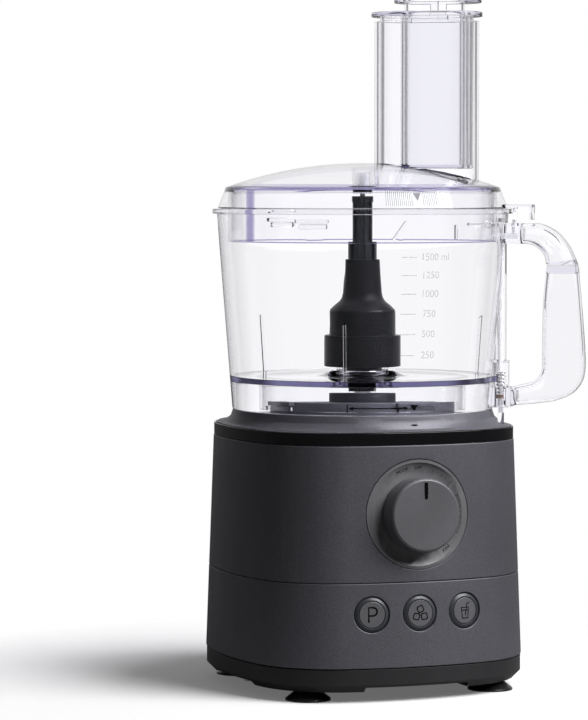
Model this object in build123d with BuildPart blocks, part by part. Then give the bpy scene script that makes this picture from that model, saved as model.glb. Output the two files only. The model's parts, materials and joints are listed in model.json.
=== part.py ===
from build123d import *
from math import acos, asin, atan2, cos, degrees, hypot, pi, radians, sin, tan
import os

os.makedirs("parts", exist_ok=True)

# Heights above the worktop, in millimetres; the drive axis is the Z axis and the front faces -Y.
cover_bottom = 6.5
cover_top = 21.0
seam_height = 73.0
band_bottom = 156.0
band_top = 164.0
deck_top = 173.5
platform_top = 181.0
boss_top = 187.0
floor_top = 191.0
rim_top = 299.0
shoulder_height = 312.5
shoulder_reach = 86.1
dome_height = 327.6
chute_top = 416.0

# Plan of the base: four bowed sides and four corner arcs, tangent to each other.
corner_reach = 32.0
side_centre = 110.0
corner_top = 52.8
corner_foot = 57.8
wall = 2.8
part_gap = 0.3

# Front panel.
dial_height = 114.0
bezel_radius = 33.3
knob_radius = 22.4
knob_face = 11.8
button_height = 54.0
button_pitch = 30.7
button_radius = 8.0
button_travel = 1.5

# Clear bowl, lid and chute.
bowl_foot_radius = 82.0
bowl_rim_radius = 91.7
clear_wall = 2.5
flange_radius = 94.5
handle_angle = -35.0
rod_radius = 1.5
rod_reach = 88.6
rod_lift = 4.0
rod_tip = 172.0
collar_low = 197.4
chute_reach = 41.0
chute_length = 66.0
chute_width = 43.0
small_reach = 46.0

# Star gear train between motor and bowl.
gear_module = 1.0
pressure_angle = radians(25.0)
sun_teeth = 12
planet_teeth = 24
ring_teeth = sun_teeth + 2 * planet_teeth
gear_backlash = 0.16
gear_low = 121.0
gear_high = 131.0
planet_places = (90.0, 210.0, 330.0)

foot_reach = 61.0
shaft_radius = 4.0
output_radius = 5.0

draft = degrees(atan2(corner_foot - corner_top, band_bottom - cover_top))
side_run = hypot(corner_reach, corner_reach + side_centre)
side_half = degrees(atan2(corner_reach, corner_reach + side_centre))
handle_turn = radians(handle_angle)


def corner_at(height):
    return corner_top + (band_bottom - height) * tan(radians(draft))


def polar(radius, turn, height=0.0):
    return (radius * cos(turn), radius * sin(turn), height)


def plan_face(height, corner, share=1.0):
    """Level outline of the base; share 1 is the bowed square and share 0 is a circle."""
    with BuildSketch(Plane.XY.offset(height)) as outline:
        with BuildLine():
            for heading in (0.0, 90.0, 180.0, 270.0):
                c = cos(radians(heading))
                s = sin(radians(heading))
                centre = side_centre * share
                reach = corner_reach * share
                CenterArc((-centre * c, -centre * s), corner + side_run * share,
                          heading - side_half, 2 * side_half)
                CenterArc((reach * (c - s), reach * (s + c)), corner,
                          heading + side_half, 90 - 2 * side_half)
        make_face()
    return outline.sketch


def profile_face(points, plane=Plane.XZ):
    with BuildSketch(plane) as outline:
        with BuildLine():
            Polyline(*points, close=True)
        make_face()
    return outline.sketch


def ring_face(height, outer, inner=0.0, centre=(0, 0)):
    with BuildSketch(Plane.XY.offset(height)) as ring:
        with Locations(centre):
            Circle(outer)
            if inner:
                Circle(inner, mode=Mode.SUBTRACT)
    return ring.sketch


def dots_face(height, radius, centres):
    with BuildSketch(Plane.XY.offset(height)) as dots:
        with Locations(*centres):
            Circle(radius)
    return dots.sketch


def blocks_face(height, width, depth, centres):
    with BuildSketch(Plane.XY.offset(height)) as blocks:
        with Locations(*centres):
            Rectangle(width, depth)
    return blocks.sketch


def sector_face(height, inner, outer, middle, width):
    with BuildSketch(Plane.XY.offset(height)) as sector:
        with BuildLine():
            far = CenterArc((0, 0), outer, middle - width / 2, width)
            near = CenterArc((0, 0), inner, middle - width / 2, width)
            Line(far @ 0, near @ 0)
            Line(far @ 1, near @ 1)
        make_face()
    return sector.sketch


def panel_plane(turn, height):
    """Plane on the drafted, bowed front at a turn about the side's own centre."""
    reach = corner_at(height) + side_run
    lean = radians(draft)
    return Plane(
        origin=(reach * sin(turn), side_centre - reach * cos(turn), height),
        x_dir=(cos(turn), sin(turn), 0),
        z_dir=(sin(turn) * cos(lean), -cos(turn) * cos(lean), sin(lean)),
    )


def across(plane):
    """Plane holding the normal of another, for profiles turned about that normal."""
    return Plane(origin=plane.origin, x_dir=plane.x_dir, z_dir=plane.y_dir * -1)


def normal_axis(plane):
    return Axis(plane.origin, plane.z_dir)


def slot_face(height, reach, length, width):
    """Obround whose long axis points along the handle's direction."""
    plane = Plane(
        origin=polar(reach, handle_turn, height),
        x_dir=(cos(handle_turn), sin(handle_turn), 0),
        z_dir=(0, 0, 1),
    )
    with BuildSketch(plane) as slot:
        SlotOverall(length, width)
    return slot.sketch


def gear_face(height, teeth, tip, root, phase, centre=(0, 0), growth=0.0):
    """Outline with straight flanks on the involute's ends; growth widens each tooth at the pitch circle."""
    pitch = gear_module * teeth / 2
    base = pitch * cos(pressure_angle)
    start = max(base, root)

    def half_turn(radius):
        angle = acos(min(1.0, base / radius))
        half = pi / (2 * teeth) + growth / (2 * pitch)
        return half + tan(pressure_angle) - pressure_angle - tan(angle) + angle

    def spot(radius, turn):
        return (centre[0] + radius * cos(turn), centre[1] + radius * sin(turn))

    with BuildSketch(Plane.XY.offset(height)) as outline:
        with BuildLine():
            for tooth in range(teeth):
                middle = phase + tooth * 2 * pi / teeth
                following = middle + 2 * pi / teeth
                for hand in (-1, 1):
                    Line(*[spot(r, middle + hand * half_turn(r)) for r in (start, tip)])
                    if root < start:
                        Line(spot(root, middle + hand * half_turn(start)),
                             spot(start, middle + hand * half_turn(start)))
                Line(spot(tip, middle - half_turn(tip)), spot(tip, middle + half_turn(tip)))
                Line(spot(root, middle + half_turn(start)), spot(root, following - half_turn(start)))
        make_face()
    return outline.sketch


def spline_face(height, root, tip, count, tooth_width):
    with BuildSketch(Plane.XY.offset(height)) as outline:
        Circle(root)
        with PolarLocations((root + tip) / 2 - 0.5, count):
            Rectangle(tip - root + 1.0, tooth_width)
    return outline.sketch


def save(builder, name):
    builder.part.label = name
    export_step(builder.part, f"parts/{name}.step")


corners = [(x, y) for x in (-1, 1) for y in (-1, 1)]
foot_spots = [(foot_reach * x, foot_reach * y) for x, y in corners]
rod_spot = polar(rod_reach, handle_turn)[:2]
pillar_spots = [(30.0 * x, 30.0 * y) for x, y in corners]
dial_plane = panel_plane(0.0, dial_height)
button_turn = asin(button_pitch / (corner_at(button_height) + side_run))
button_planes = [panel_plane(button_turn * place, button_height) for place in (-1, 0, 1)]
rear_plane = Plane(
    origin=(0, corner_at(40.0) + side_run - side_centre, 40.0),
    x_dir=(-1, 0, 0),
    z_dir=(0, cos(radians(draft)), sin(radians(draft))),
)

# Lower housing: drafted shell with three button holes and the cord's hole.
with BuildPart() as lower_housing:
    low = cover_top + part_gap
    high = seam_height - part_gap / 2
    extrude(plan_face(low, corner_at(low)), amount=high - low, taper=draft)
    extrude(plan_face(low, corner_at(high) - wall), amount=high - low, mode=Mode.SUBTRACT)
    for plane in button_planes:
        with BuildSketch(plane):
            Circle(11.1)
        extrude(amount=8, both=True, mode=Mode.SUBTRACT)
    with BuildSketch(rear_plane):
        Circle(7.0)
    extrude(amount=8, both=True, mode=Mode.SUBTRACT)
save(lower_housing, "lower_housing")

# Upper housing: drafted shell with the round seat of the dial.
with BuildPart() as upper_housing:
    low = seam_height + part_gap / 2
    extrude(plan_face(low, corner_at(low)), amount=band_bottom - low, taper=draft)
    extrude(plan_face(low, corner_at(band_bottom) - wall), amount=band_bottom - low, mode=Mode.SUBTRACT)
    with BuildSketch(dial_plane):
        Circle(bezel_radius + part_gap)
    extrude(amount=12, both=True, mode=Mode.SUBTRACT)
save(upper_housing, "upper_housing")

# Gloss band between the housing and the deck.
with BuildPart() as trim_band:
    low = band_bottom + part_gap
    high = band_top - part_gap
    extrude(plan_face(low, corner_at(high)), amount=high - low)
    extrude(plan_face(low, 49.8), amount=high - low, mode=Mode.SUBTRACT)
save(trim_band, "trim_band")


def collar_sections(half_low, half_high, low, high):
    """Outlines from the bowed square up to the bowl's circle along a concave quarter."""
    sections = []
    for step in range(4):
        turn = radians(30.0 * step)
        share = 1 - sin(turn)
        half = half_high + (half_low - half_high) * share
        height = high - (high - low) * cos(turn)
        sections.append(plan_face(height, half - (side_run - side_centre) * share, share).face())
    return sections


# Deck: concave collar, bowl platform with bayonet lugs, bearing boss and a hollow underside.
lug_width = 24.0
lug_places = (10.0, 100.0, 190.0, 280.0)
with BuildPart() as top_deck:
    extrude(plan_face(157.0, 49.5), amount=band_top - 156.5)
    loft(collar_sections(87.4, 81.6, band_top, deck_top), ruled=True)
    extrude(ring_face(deck_top - 3, 58.0), amount=platform_top - deck_top + 3)
    for place in lug_places:
        extrude(sector_face(178.4, 57.0, 61.6, place, lug_width), amount=platform_top - 178.4)
    extrude(ring_face(166.0, 21.0), amount=boss_top - 166.0)
    with BuildSketch(Plane.XY.offset(157.0)):
        RegularPolygon(80.0, 8)
        RegularPolygon(50.0, 8, mode=Mode.SUBTRACT)
    extrude(amount=13.5, mode=Mode.SUBTRACT)
    with BuildSketch(Plane.XY.offset(157.0)):
        RegularPolygon(38.0, 8)
        RegularPolygon(21.0, 8, mode=Mode.SUBTRACT)
    extrude(amount=21.0, mode=Mode.SUBTRACT)
    extrude(ring_face(157.0, 13.02), amount=23.0, mode=Mode.SUBTRACT)
    extrude(ring_face(180.0, 9.0), amount=8.0, mode=Mode.SUBTRACT)
    extrude(dots_face(157.0, 2.4, [rod_spot]), amount=17, mode=Mode.SUBTRACT)
save(top_deck, "top_deck")

# Bottom cover: tray with corner pads, bridged sides, plug holes for the feet and vents.
with BuildPart() as bottom_cover:
    high = cover_top - part_gap
    corner = corner_at(cover_top) - 0.5
    extrude(plan_face(cover_bottom, corner), amount=high - cover_bottom)
    chamfer(bottom_cover.edges().group_by(Axis.Z)[0], 4.6)
    extrude(plan_face(12.0, corner - wall), amount=high - 12.0, mode=Mode.SUBTRACT)
    for width, depth in ((68.0, 240.0), (240.0, 68.0)):
        with BuildSketch(Plane.XY.offset(cover_bottom)):
            Rectangle(width, depth)
        extrude(amount=3.0, mode=Mode.SUBTRACT)
    extrude(blocks_face(cover_bottom, 6.4, 6.4, foot_spots), amount=8.0, mode=Mode.SUBTRACT)
    with BuildSketch(Plane.XY.offset(9.0)):
        with GridLocations(0, 9.0, 1, 7):
            Rectangle(52.0, 4.2)
    extrude(amount=4.0, mode=Mode.SUBTRACT)
save(bottom_cover, "bottom_cover")

# Suction feet: hollowed cups on square plugs.
with BuildPart() as suction_feet:
    for x, y in foot_spots:
        stand = Plane(origin=(x, y, 0), x_dir=(1, 0, 0), z_dir=(0, -1, 0))
        cup = [(0, 1.4), (12.4, 1.4), (12.4, 0), (14.0, 0), (14.0, 1.2), (7.4, 6.3), (0, 6.3)]
        revolve(profile_face(cup, stand), axis=Axis((x, y, 0), (0, 0, 1)))
    extrude(blocks_face(5.0, 6.0, 6.0, foot_spots), amount=9.0)
save(suction_feet, "suction_feet")

# Dial bezel: dished ring whose rim follows the bowed front.
dish_depth = 4.2
with BuildPart() as dial_bezel:
    with BuildSketch(dial_plane.offset(-9.0)):
        Circle(bezel_radius)
    extrude(amount=14.0)
    extrude(plan_face(60.0, corner_at(60.0)), amount=110.0, taper=draft, mode=Mode.INTERSECT)
    bowl_cut = [(0, -dish_depth), (25.0, -dish_depth), (31.6, -1.2), (31.6, 6.0), (0, 6.0)]
    revolve(profile_face(bowl_cut, across(dial_plane)), axis=normal_axis(dial_plane),
            mode=Mode.SUBTRACT)
    with BuildSketch(dial_plane):
        Circle(6.5)
    extrude(amount=12, both=True, mode=Mode.SUBTRACT)
save(dial_bezel, "dial_bezel")

# Speed knob with a chamfered face, a square bore for the dial shaft and the pointer's slot.
knob_back = -dish_depth + 0.5
pointer_low = 12.5
pointer_high = 19.6
shaft_side = 5.0
with BuildPart() as speed_knob:
    knob_shape = [(0, knob_back), (knob_radius, knob_back), (knob_radius, knob_face - 1.2),
                  (knob_radius - 1.2, knob_face), (0, knob_face)]
    revolve(profile_face(knob_shape, across(dial_plane)), axis=normal_axis(dial_plane))
    with BuildSketch(dial_plane.offset(knob_back - 1)):
        Rectangle(shaft_side + 0.1, shaft_side + 0.1)
    extrude(amount=knob_face - knob_back - 3.0, mode=Mode.SUBTRACT)
    with BuildSketch(dial_plane.offset(knob_face - 1.2)):
        with Locations((0, (pointer_low + pointer_high) / 2)):
            Rectangle(2.0, pointer_high - pointer_low)
    extrude(amount=3.0, mode=Mode.SUBTRACT)
save(speed_knob, "speed_knob")

with BuildPart() as knob_pointer:
    with BuildSketch(dial_plane.offset(knob_face - 1.2)):
        with Locations((0, (pointer_low + pointer_high) / 2)):
            Rectangle(1.9, pointer_high - pointer_low - 0.1)
    extrude(amount=0.9)
save(knob_pointer, "knob_pointer")

# Dial shaft and its encoder on the control board.
board_face = -18.0
with BuildPart() as dial_shaft:
    with BuildSketch(dial_plane.offset(board_face + 1.0)):
        Rectangle(shaft_side, shaft_side)
    extrude(amount=knob_face - 4.2 - board_face - 1.0)
save(dial_shaft, "dial_shaft")

with BuildPart() as dial_encoder:
    with BuildSketch(dial_plane.offset(board_face)):
        Rectangle(14.0, 14.0)
    extrude(amount=8.0)
    with BuildSketch(dial_plane.offset(board_face + 0.8)):
        Circle(0.76 * shaft_side)
    extrude(amount=10.0, mode=Mode.SUBTRACT)
save(dial_encoder, "dial_encoder")

with BuildPart() as control_board:
    with BuildSketch(dial_plane.offset(board_face)):
        with Locations((0, -25.5)):
            Rectangle(88.0, 90.0)
    extrude(amount=-1.6)
save(control_board, "control_board")

# Push buttons: fixed dished rings, sliding caps with stems, and a switch behind each.
with BuildPart() as button_rings:
    for plane in button_planes:
        ring_shape = [(8.25, -4.5), (10.8, -4.5), (10.8, 0.7), (8.25, -0.6)]
        revolve(profile_face(ring_shape, across(plane)), axis=normal_axis(plane))
save(button_rings, "button_rings")

for name, plane in zip(("pulse_button", "ice_button", "drink_button"), button_planes):
    with BuildPart() as button_cap:
        with BuildSketch(plane.offset(-3.0)):
            Circle(button_radius)
        extrude(amount=3.2)
        with BuildSketch(plane.offset(-10.0)):
            Rectangle(4.0, 4.0)
        extrude(amount=8.0)
    save(button_cap, name)

with BuildPart() as button_switches:
    for plane in button_planes:
        with BuildSketch(plane.offset(-15.0)):
            Rectangle(6.2, 6.2)
        extrude(amount=4.7 - button_travel)
save(button_switches, "button_switches")

# Cord gland in the rear wall, empty.
with BuildPart() as cord_gland:
    gland_shape = [(3.4, -9.0), (6.8, -9.0), (6.8, 0.4), (9.0, 0.4), (9.0, 6.0), (3.4, 6.0)]
    revolve(profile_face(gland_shape, across(rear_plane)), axis=normal_axis(rear_plane))
save(cord_gland, "cord_gland")

# Motor: wound two-pole stator between a lower bracket and the gear housing.
stator_low = 54.0
stator_high = 92.0
window_spots = [(-30.6, 0), (30.6, 0)]
with BuildPart() as stator_core:
    with BuildSketch(Plane.XY.offset(stator_low)) as stack:
        Rectangle(76.0, 76.0)
        chamfer(stack.vertices(), 8.0)
        Circle(24.2, mode=Mode.SUBTRACT)
        with Locations(*window_spots):
            Rectangle(7.4, 40.0, mode=Mode.SUBTRACT)
    extrude(amount=stator_high - stator_low)
save(stator_core, "stator_core")

with BuildPart() as field_windings:
    extrude(blocks_face(stator_low - 4, 6.8, 39.4, window_spots), amount=stator_high - stator_low + 8)
save(field_windings, "field_windings")

with BuildPart() as lower_bracket:
    with BuildSketch(Plane.XY.offset(36.0)) as bracket_plate:
        Rectangle(74.0, 74.0)
        chamfer(bracket_plate.vertices(), 8.0)
    extrude(amount=3.0)
    extrude(blocks_face(38.0, 8.0, 8.0, pillar_spots), amount=stator_low - 38.0 - 0.05)
    extrude(blocks_face(26.0, 28.0, 28.0, [(0, 0)]), amount=12.0)
    extrude(ring_face(27.5, 9.52), amount=12.0, mode=Mode.SUBTRACT)
    extrude(ring_face(26.0, 6.0), amount=2.0, mode=Mode.SUBTRACT)
save(lower_bracket, "lower_bracket")

with BuildPart() as shaft_bearings:
    for low in (27.6, 111.2):
        extrude(ring_face(low, 9.5, shaft_radius + 0.02), amount=7.0)
    extrude(ring_face(170.5, 13.0, output_radius + 0.02), amount=9.0)
save(shaft_bearings, "shaft_bearings")

with BuildPart() as brush_holders:
    for side in (-1, 1):
        with BuildSketch(Plane.XY.offset(39.1)):
            with Locations((0, side * 23.5)):
                Rectangle(9.0, 20.0)
        extrude(amount=10.0)
        with BuildSketch(Plane.XY.offset(41.0)):
            with Locations((0, side * 22.5)):
                Rectangle(6.2, 20.0)
        extrude(amount=6.2, mode=Mode.SUBTRACT)
save(brush_holders, "brush_holders")

with BuildPart() as carbon_brushes:
    for side in (-1, 1):
        with BuildSketch(Plane.XY.offset(41.1)):
            with Locations((0, side * 20.2)):
                Rectangle(6.0, 17.6)
        extrude(amount=6.0)
save(carbon_brushes, "carbon_brushes")

# Rotor: shaft with the pinion cut on its end, slotted core, end turns, commutator and fan.
armature_slots = 12
sun_pitch = gear_module * sun_teeth / 2
with BuildPart() as rotor_shaft:
    extrude(ring_face(27.0, shaft_radius), amount=gear_low - 27.0)
    extrude(gear_face(gear_low, sun_teeth, sun_pitch + 0.8 * gear_module, sun_pitch - 0.95 * gear_module,
                      0.0, growth=-gear_backlash / 2), amount=gear_high - gear_low)
save(rotor_shaft, "rotor_shaft")

with BuildPart() as armature_core:
    with BuildSketch(Plane.XY.offset(stator_low + 1)):
        Circle(23.5)
        Circle(shaft_radius + 0.01, mode=Mode.SUBTRACT)
        with PolarLocations(18.6, armature_slots):
            Rectangle(7.0, 3.4, mode=Mode.SUBTRACT)
    extrude(amount=stator_high - stator_low - 2)
save(armature_core, "armature_core")

with BuildPart() as armature_windings:
    for low in (stator_low - 3.2, stator_high - 0.9):
        with BuildSketch(Plane.XY.offset(low)):
            RegularPolygon(21.0, armature_slots)
            RegularPolygon(9.0, armature_slots, mode=Mode.SUBTRACT)
        extrude(amount=4.1)
save(armature_windings, "armature_windings")

with BuildPart() as commutator:
    with BuildSketch(Plane.XY.offset(39.6)):
        RegularPolygon(11.3, armature_slots)
        Circle(shaft_radius + 0.01, mode=Mode.SUBTRACT)
    extrude(amount=10.6)
save(commutator, "commutator")

with BuildPart() as cooling_fan:
    extrude(ring_face(98.0, 32.0, shaft_radius + 0.01), amount=1.6)
    with BuildSketch(Plane.XY.offset(99.0)):
        with PolarLocations(20.0, 9):
            Rectangle(22.6, 1.8, rotation=12)
    extrude(amount=7.6)
save(cooling_fan, "cooling_fan")

# Gear housing: twelve-sided cup that carries the upper bearing and planet pins and stands up to the deck.
planet_reach = gear_module * (sun_teeth + planet_teeth) / 2
planet_spots = [polar(planet_reach, radians(turn))[:2] for turn in planet_places]
with BuildPart() as gear_housing:
    with BuildSketch(Plane.XY.offset(111.0)):
        RegularPolygon(45.5, 12)
    extrude(amount=45.9)
    with BuildSketch(Plane.XY.offset(118.8)):
        RegularPolygon(41.5, 12)
    extrude(amount=40.0, mode=Mode.SUBTRACT)
    extrude(blocks_face(stator_high + 0.05, 8.0, 8.0, pillar_spots), amount=19.5)
    extrude(ring_face(111.1, 9.52), amount=9.0, mode=Mode.SUBTRACT)
    extrude(ring_face(110.0, 6.5), amount=3.0, mode=Mode.SUBTRACT)
    extrude(dots_face(113.0, 2.5, planet_spots), amount=7.0, mode=Mode.SUBTRACT)
save(gear_housing, "gear_housing")

with BuildPart() as planet_pins:
    extrude(dots_face(113.1, 2.48, planet_spots), amount=gear_high - 113.1)
save(planet_pins, "planet_pins")

# Planet gears on fixed pins, each phased to the pinion, then the ring phased to the first of them.
planet_pitch = gear_module * planet_teeth / 2
planet_phases = []
for number, place in enumerate(planet_places, start=1):
    turn = radians(place)
    phase = turn + pi - (pi - turn * sun_teeth) / planet_teeth
    planet_phases.append(phase)
    with BuildPart() as planet_gear:
        spot = polar(planet_reach, turn)[:2]
        extrude(gear_face(gear_low, planet_teeth, planet_pitch + 0.8 * gear_module,
                          planet_pitch - 0.95 * gear_module, phase, spot, -gear_backlash / 2),
                amount=gear_high - gear_low)
        extrude(dots_face(gear_low, 2.55, [spot]), amount=gear_high - gear_low, mode=Mode.SUBTRACT)
    save(planet_gear, f"planet_gear_{number}")

ring_phase = radians(planet_places[0]) - (
    pi + (radians(planet_places[0]) - planet_phases[0]) * planet_teeth) / ring_teeth
with BuildPart() as ring_gear:
    ring_pitch = gear_module * ring_teeth / 2
    extrude(ring_face(gear_low - 0.5, 36.0), amount=gear_high - gear_low + 5.5)
    extrude(gear_face(gear_low - 0.5, ring_teeth, ring_pitch + 0.95 * gear_module,
                      ring_pitch - 0.8 * gear_module, ring_phase + pi / ring_teeth,
                      growth=gear_backlash / 2), amount=gear_high - gear_low + 2.0, mode=Mode.SUBTRACT)
    extrude(ring_face(gear_high + 1.4, output_radius + 0.01), amount=13.0, mode=Mode.SUBTRACT)
save(ring_gear, "ring_gear")

# Output shaft and its seal.
with BuildPart() as output_shaft:
    extrude(ring_face(gear_high + 1.6, output_radius), amount=204.0 - gear_high)
save(output_shaft, "output_shaft")

with BuildPart() as shaft_seal:
    extrude(ring_face(183.1, 8.96, output_radius + 0.05), amount=3.5)
save(shaft_seal, "shaft_seal")

# Six-sided driver on the output shaft and the tool hub that stands on it.
driver_radius = 9.4
with BuildPart() as drive_coupling:
    with BuildSketch(Plane.XY.offset(188.0)):
        RegularPolygon(driver_radius, 6)
    extrude(amount=23.0)
    extrude(ring_face(187.5, output_radius + 0.01), amount=25.0, mode=Mode.SUBTRACT)
save(drive_coupling, "drive_coupling")

with BuildPart() as tool_hub:
    hub_shape = [(0, 193.0), (12.4, 193.0), (12.4, 217.0), (17.2, 217.0), (17.2, 200.0), (23.6, 200.0),
                 (23.6, 219.6), (21.0, 219.6), (21.0, 232.4), (19.3, 235.4), (12.4, 245.0), (11.2, 266.0),
                 (0, 266.0)]
    revolve(profile_face(hub_shape), axis=Axis.Z)
    with BuildSketch(Plane.XY.offset(193.0)):
        RegularPolygon(driver_radius + 0.35, 6)
    extrude(amount=19.5, mode=Mode.SUBTRACT)
    extrude(ring_face(250.0, 6.02), amount=17.0, mode=Mode.SUBTRACT)
save(tool_hub, "tool_hub")

with BuildPart() as tool_post:
    extrude(ring_face(250.2, 6.0), amount=17.0)
    extrude(spline_face(266.1, 7.4, 9.0, 8, 3.4), amount=12.4)
    extrude(spline_face(278.0, 5.0, 6.3, 8, 2.2), amount=29.0)
    extrude(spline_face(303.5, 5.6, 6.8, 8, 2.4), amount=3.5)
    extrude(ring_face(296.0, 1.62), amount=12.0, mode=Mode.SUBTRACT)
save(tool_post, "tool_post")

with BuildPart() as spindle_pin:
    extrude(ring_face(296.2, 1.6), amount=24.0)
save(spindle_pin, "spindle_pin")

# Bowl: conical wall, floor with a drive tube, bayonet ring, ribs and the rod's guide tube.
wall_rise = (bowl_rim_radius - bowl_foot_radius) / (rim_top - 3.0 - deck_top)


def bowl_outer(height):
    return bowl_foot_radius + (height - deck_top) * wall_rise


column_top = 289.6
chamber_top = collar_low + rod_lift + 3.2
bowl_low = deck_top + 0.2
radial = Plane(origin=(0, 0, 0), x_dir=polar(1.0, handle_turn), z_dir=polar(1.0, handle_turn - pi / 2))
button_spot = polar(97.6, handle_turn)[:2]
head_room = [(rod_reach - 1.75, 278.9), (100.2, 278.9), (100.2, 288.4), (rod_reach - 1.75, 288.4)]
with BuildPart() as bowl:
    inner_floor = bowl_outer(floor_top) - clear_wall
    bowl_shape = [
        (bowl_outer(bowl_low), bowl_low), (bowl_outer(rim_top - 3), rim_top - 3),
        (flange_radius, rim_top - 3), (flange_radius, rim_top),
        (bowl_outer(rim_top) - clear_wall, rim_top), (inner_floor, floor_top), (27.0, floor_top),
        (17.0, floor_top + 6.5), (16.4, floor_top + 6.5), (16.4, 214.0), (13.4, 214.0),
        (13.4, floor_top - 3), (62.6, floor_top - 3), (62.6, 175.3), (65.0, 175.3),
        (65.0, floor_top - 3), (bowl_outer(bowl_low) - clear_wall, floor_top - 3),
        (bowl_outer(bowl_low) - clear_wall, bowl_low),
    ]
    revolve(profile_face(bowl_shape), axis=Axis.Z)
    for place in lug_places:
        extrude(sector_face(175.3, 59.0, 63.0, place, lug_width), amount=2.7)
    for place in (-120.0, 0.0, 120.0):
        rib = Plane(origin=(0, 0, 0), x_dir=polar(1.0, radians(place)),
                    z_dir=polar(1.0, radians(place - 90)))
        rib_shape = [(inner_floor - 2.2, floor_top - 1), (inner_floor + 1.0, floor_top - 1),
                     (bowl_outer(floor_top + 40) - 1.4, floor_top + 40),
                     (inner_floor + 0.4, floor_top + 38)]
        extrude(profile_face(rib_shape, rib), amount=0.8, both=True)
    for place in (handle_angle - 98, handle_angle + 22, handle_angle + 142):
        extrude(sector_face(290.6, 86.4, 89.6, place, 14.0), amount=2.4)
    extrude(dots_face(chamber_top + 0.05, 3.3, [rod_spot]), amount=column_top - chamber_top - 0.05)
    extrude(dots_face(175.0, rod_radius + 0.25, [rod_spot]), amount=288.4 - 175.0, mode=Mode.SUBTRACT)
    extrude(profile_face(head_room, radial), amount=2.4, both=True, mode=Mode.SUBTRACT)
save(bowl, "bowl")

# Brackets on the bowl's wall: the lower one holds the spring's chamber, the upper one the rod's head.
with BuildPart() as handle_brackets:
    foot_block = [(80.0, 176.0), (96.0, 176.0), (96.0, 188.0), (80.0, 188.0)]
    extrude(profile_face(foot_block, radial), amount=8.0, both=True)
    extrude(dots_face(175.2, 5.2, [rod_spot]), amount=chamber_top - 175.2)
    top_block = [(86.0, 277.4), (102.0, 277.4), (102.0, 290.2), (86.0, 290.2)]
    extrude(profile_face(top_block, radial), amount=7.0, both=True)
    extrude(dots_face(175.0, 3.7, [rod_spot]), amount=chamber_top - 176.4, mode=Mode.SUBTRACT)
    extrude(dots_face(175.0, rod_radius + 0.25, [rod_spot]), amount=40.0, mode=Mode.SUBTRACT)
    extrude(dots_face(270.0, 3.35, [rod_spot]), amount=column_top + 0.05 - 270.0, mode=Mode.SUBTRACT)
    extrude(profile_face(head_room, radial), amount=2.4, both=True, mode=Mode.SUBTRACT)
    extrude(dots_face(284.0, 2.3, [button_spot]), amount=8.0, mode=Mode.SUBTRACT)
    wall_space = [(70.0, 174.0), (bowl_outer(174.0) + 0.05, 174.0), (bowl_outer(292.0) + 0.05, 292.0),
                  (70.0, 292.0)]
    revolve(profile_face(wall_space), axis=Axis.Z, mode=Mode.SUBTRACT)
save(handle_brackets, "handle_brackets")

# Handle: hollow grip standing on the foot block, and the elbow from the grip to the top bracket.
grip_depth = 22.0
hollow_half = 6.2
shell = 2.3
joint_height = 264.0


def handle_section(inner_edge, outer_edge):
    """Eight-sided cross-section of the handle between two (reach, height) points."""
    start = Vector(*polar(inner_edge[0], handle_turn, inner_edge[1]))
    end = Vector(*polar(outer_edge[0], handle_turn, outer_edge[1]))
    heading = (end - start).normalized()
    width = (end - start).length
    with BuildSketch(Plane((start + end) / 2, x_dir=heading, z_dir=heading.cross(radial.z_dir))) as cut:
        Rectangle(width, grip_depth)
        chamfer(cut.vertices(), 0.22 * min(width, grip_depth))
    return cut.sketch.face()


def fan_edges(centre, inner, reaches):
    """Section edges on rays about a bend's centre, from {degrees: outer radius}."""
    edges = []
    for angle, outer in reaches.items():
        c = cos(radians(angle))
        s = sin(radians(angle))
        edges.append(((centre[0] + inner * c, centre[1] + inner * s),
                      (centre[0] + outer * c, centre[1] + outer * s)))
    return edges


def handle_loft(edges):
    loft([handle_section(inner, outer) for inner, outer in edges], ruled=True)


def hollow_face(edges):
    """Side outline of the space inside a handle piece."""
    near = []
    far = []
    for inner, outer in edges:
        share = shell / hypot(outer[0] - inner[0], outer[1] - inner[1])
        step = ((outer[0] - inner[0]) * share, (outer[1] - inner[1]) * share)
        near.append((inner[0] + step[0], inner[1] + step[1]))
        far.append((outer[0] - step[0], outer[1] - step[1]))
    return profile_face(near + far[::-1], radial)


grip_edges = [((117.6, joint_height), (137.0, joint_height)), ((115.7, 243.0), (138.9, 243.0)),
              ((115.0, 217.0), (141.0, 217.0))]
grip_edges += fan_edges((104.0, 201.5), 11.0, {0: 37.6, -15: 37.0, -30: 34.2, -48: 29.0, -66: 25.2,
                                               -80: 24.2})
grip_foot = ((96.2, 188.6), (96.2, 176.6))
with BuildPart() as handle_grip:
    handle_loft(grip_edges + [grip_foot])
    grip_edges[0] = ((117.6, joint_height + 0.4), (137.0, joint_height + 0.4))
    extrude(hollow_face(grip_edges), amount=hollow_half, both=True, mode=Mode.SUBTRACT)
save(handle_grip, "handle_grip")

elbow_end = ((102.1, 277.2), (102.1, 290.0))
elbow_edges = fan_edges((104.5, joint_height + 0.5), 12.8, {90: 25.5, 68: 27.1, 45: 28.2, 22: 29.4,
                                                            0: 32.4})
with BuildPart() as handle_elbow:
    handle_loft([elbow_end] + elbow_edges)
    elbow_edges[-1] = ((117.3, joint_height + 0.1), (136.9, joint_height + 0.1))
    extrude(hollow_face(elbow_edges), amount=hollow_half, both=True, mode=Mode.SUBTRACT)
save(handle_elbow, "handle_elbow")

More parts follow.
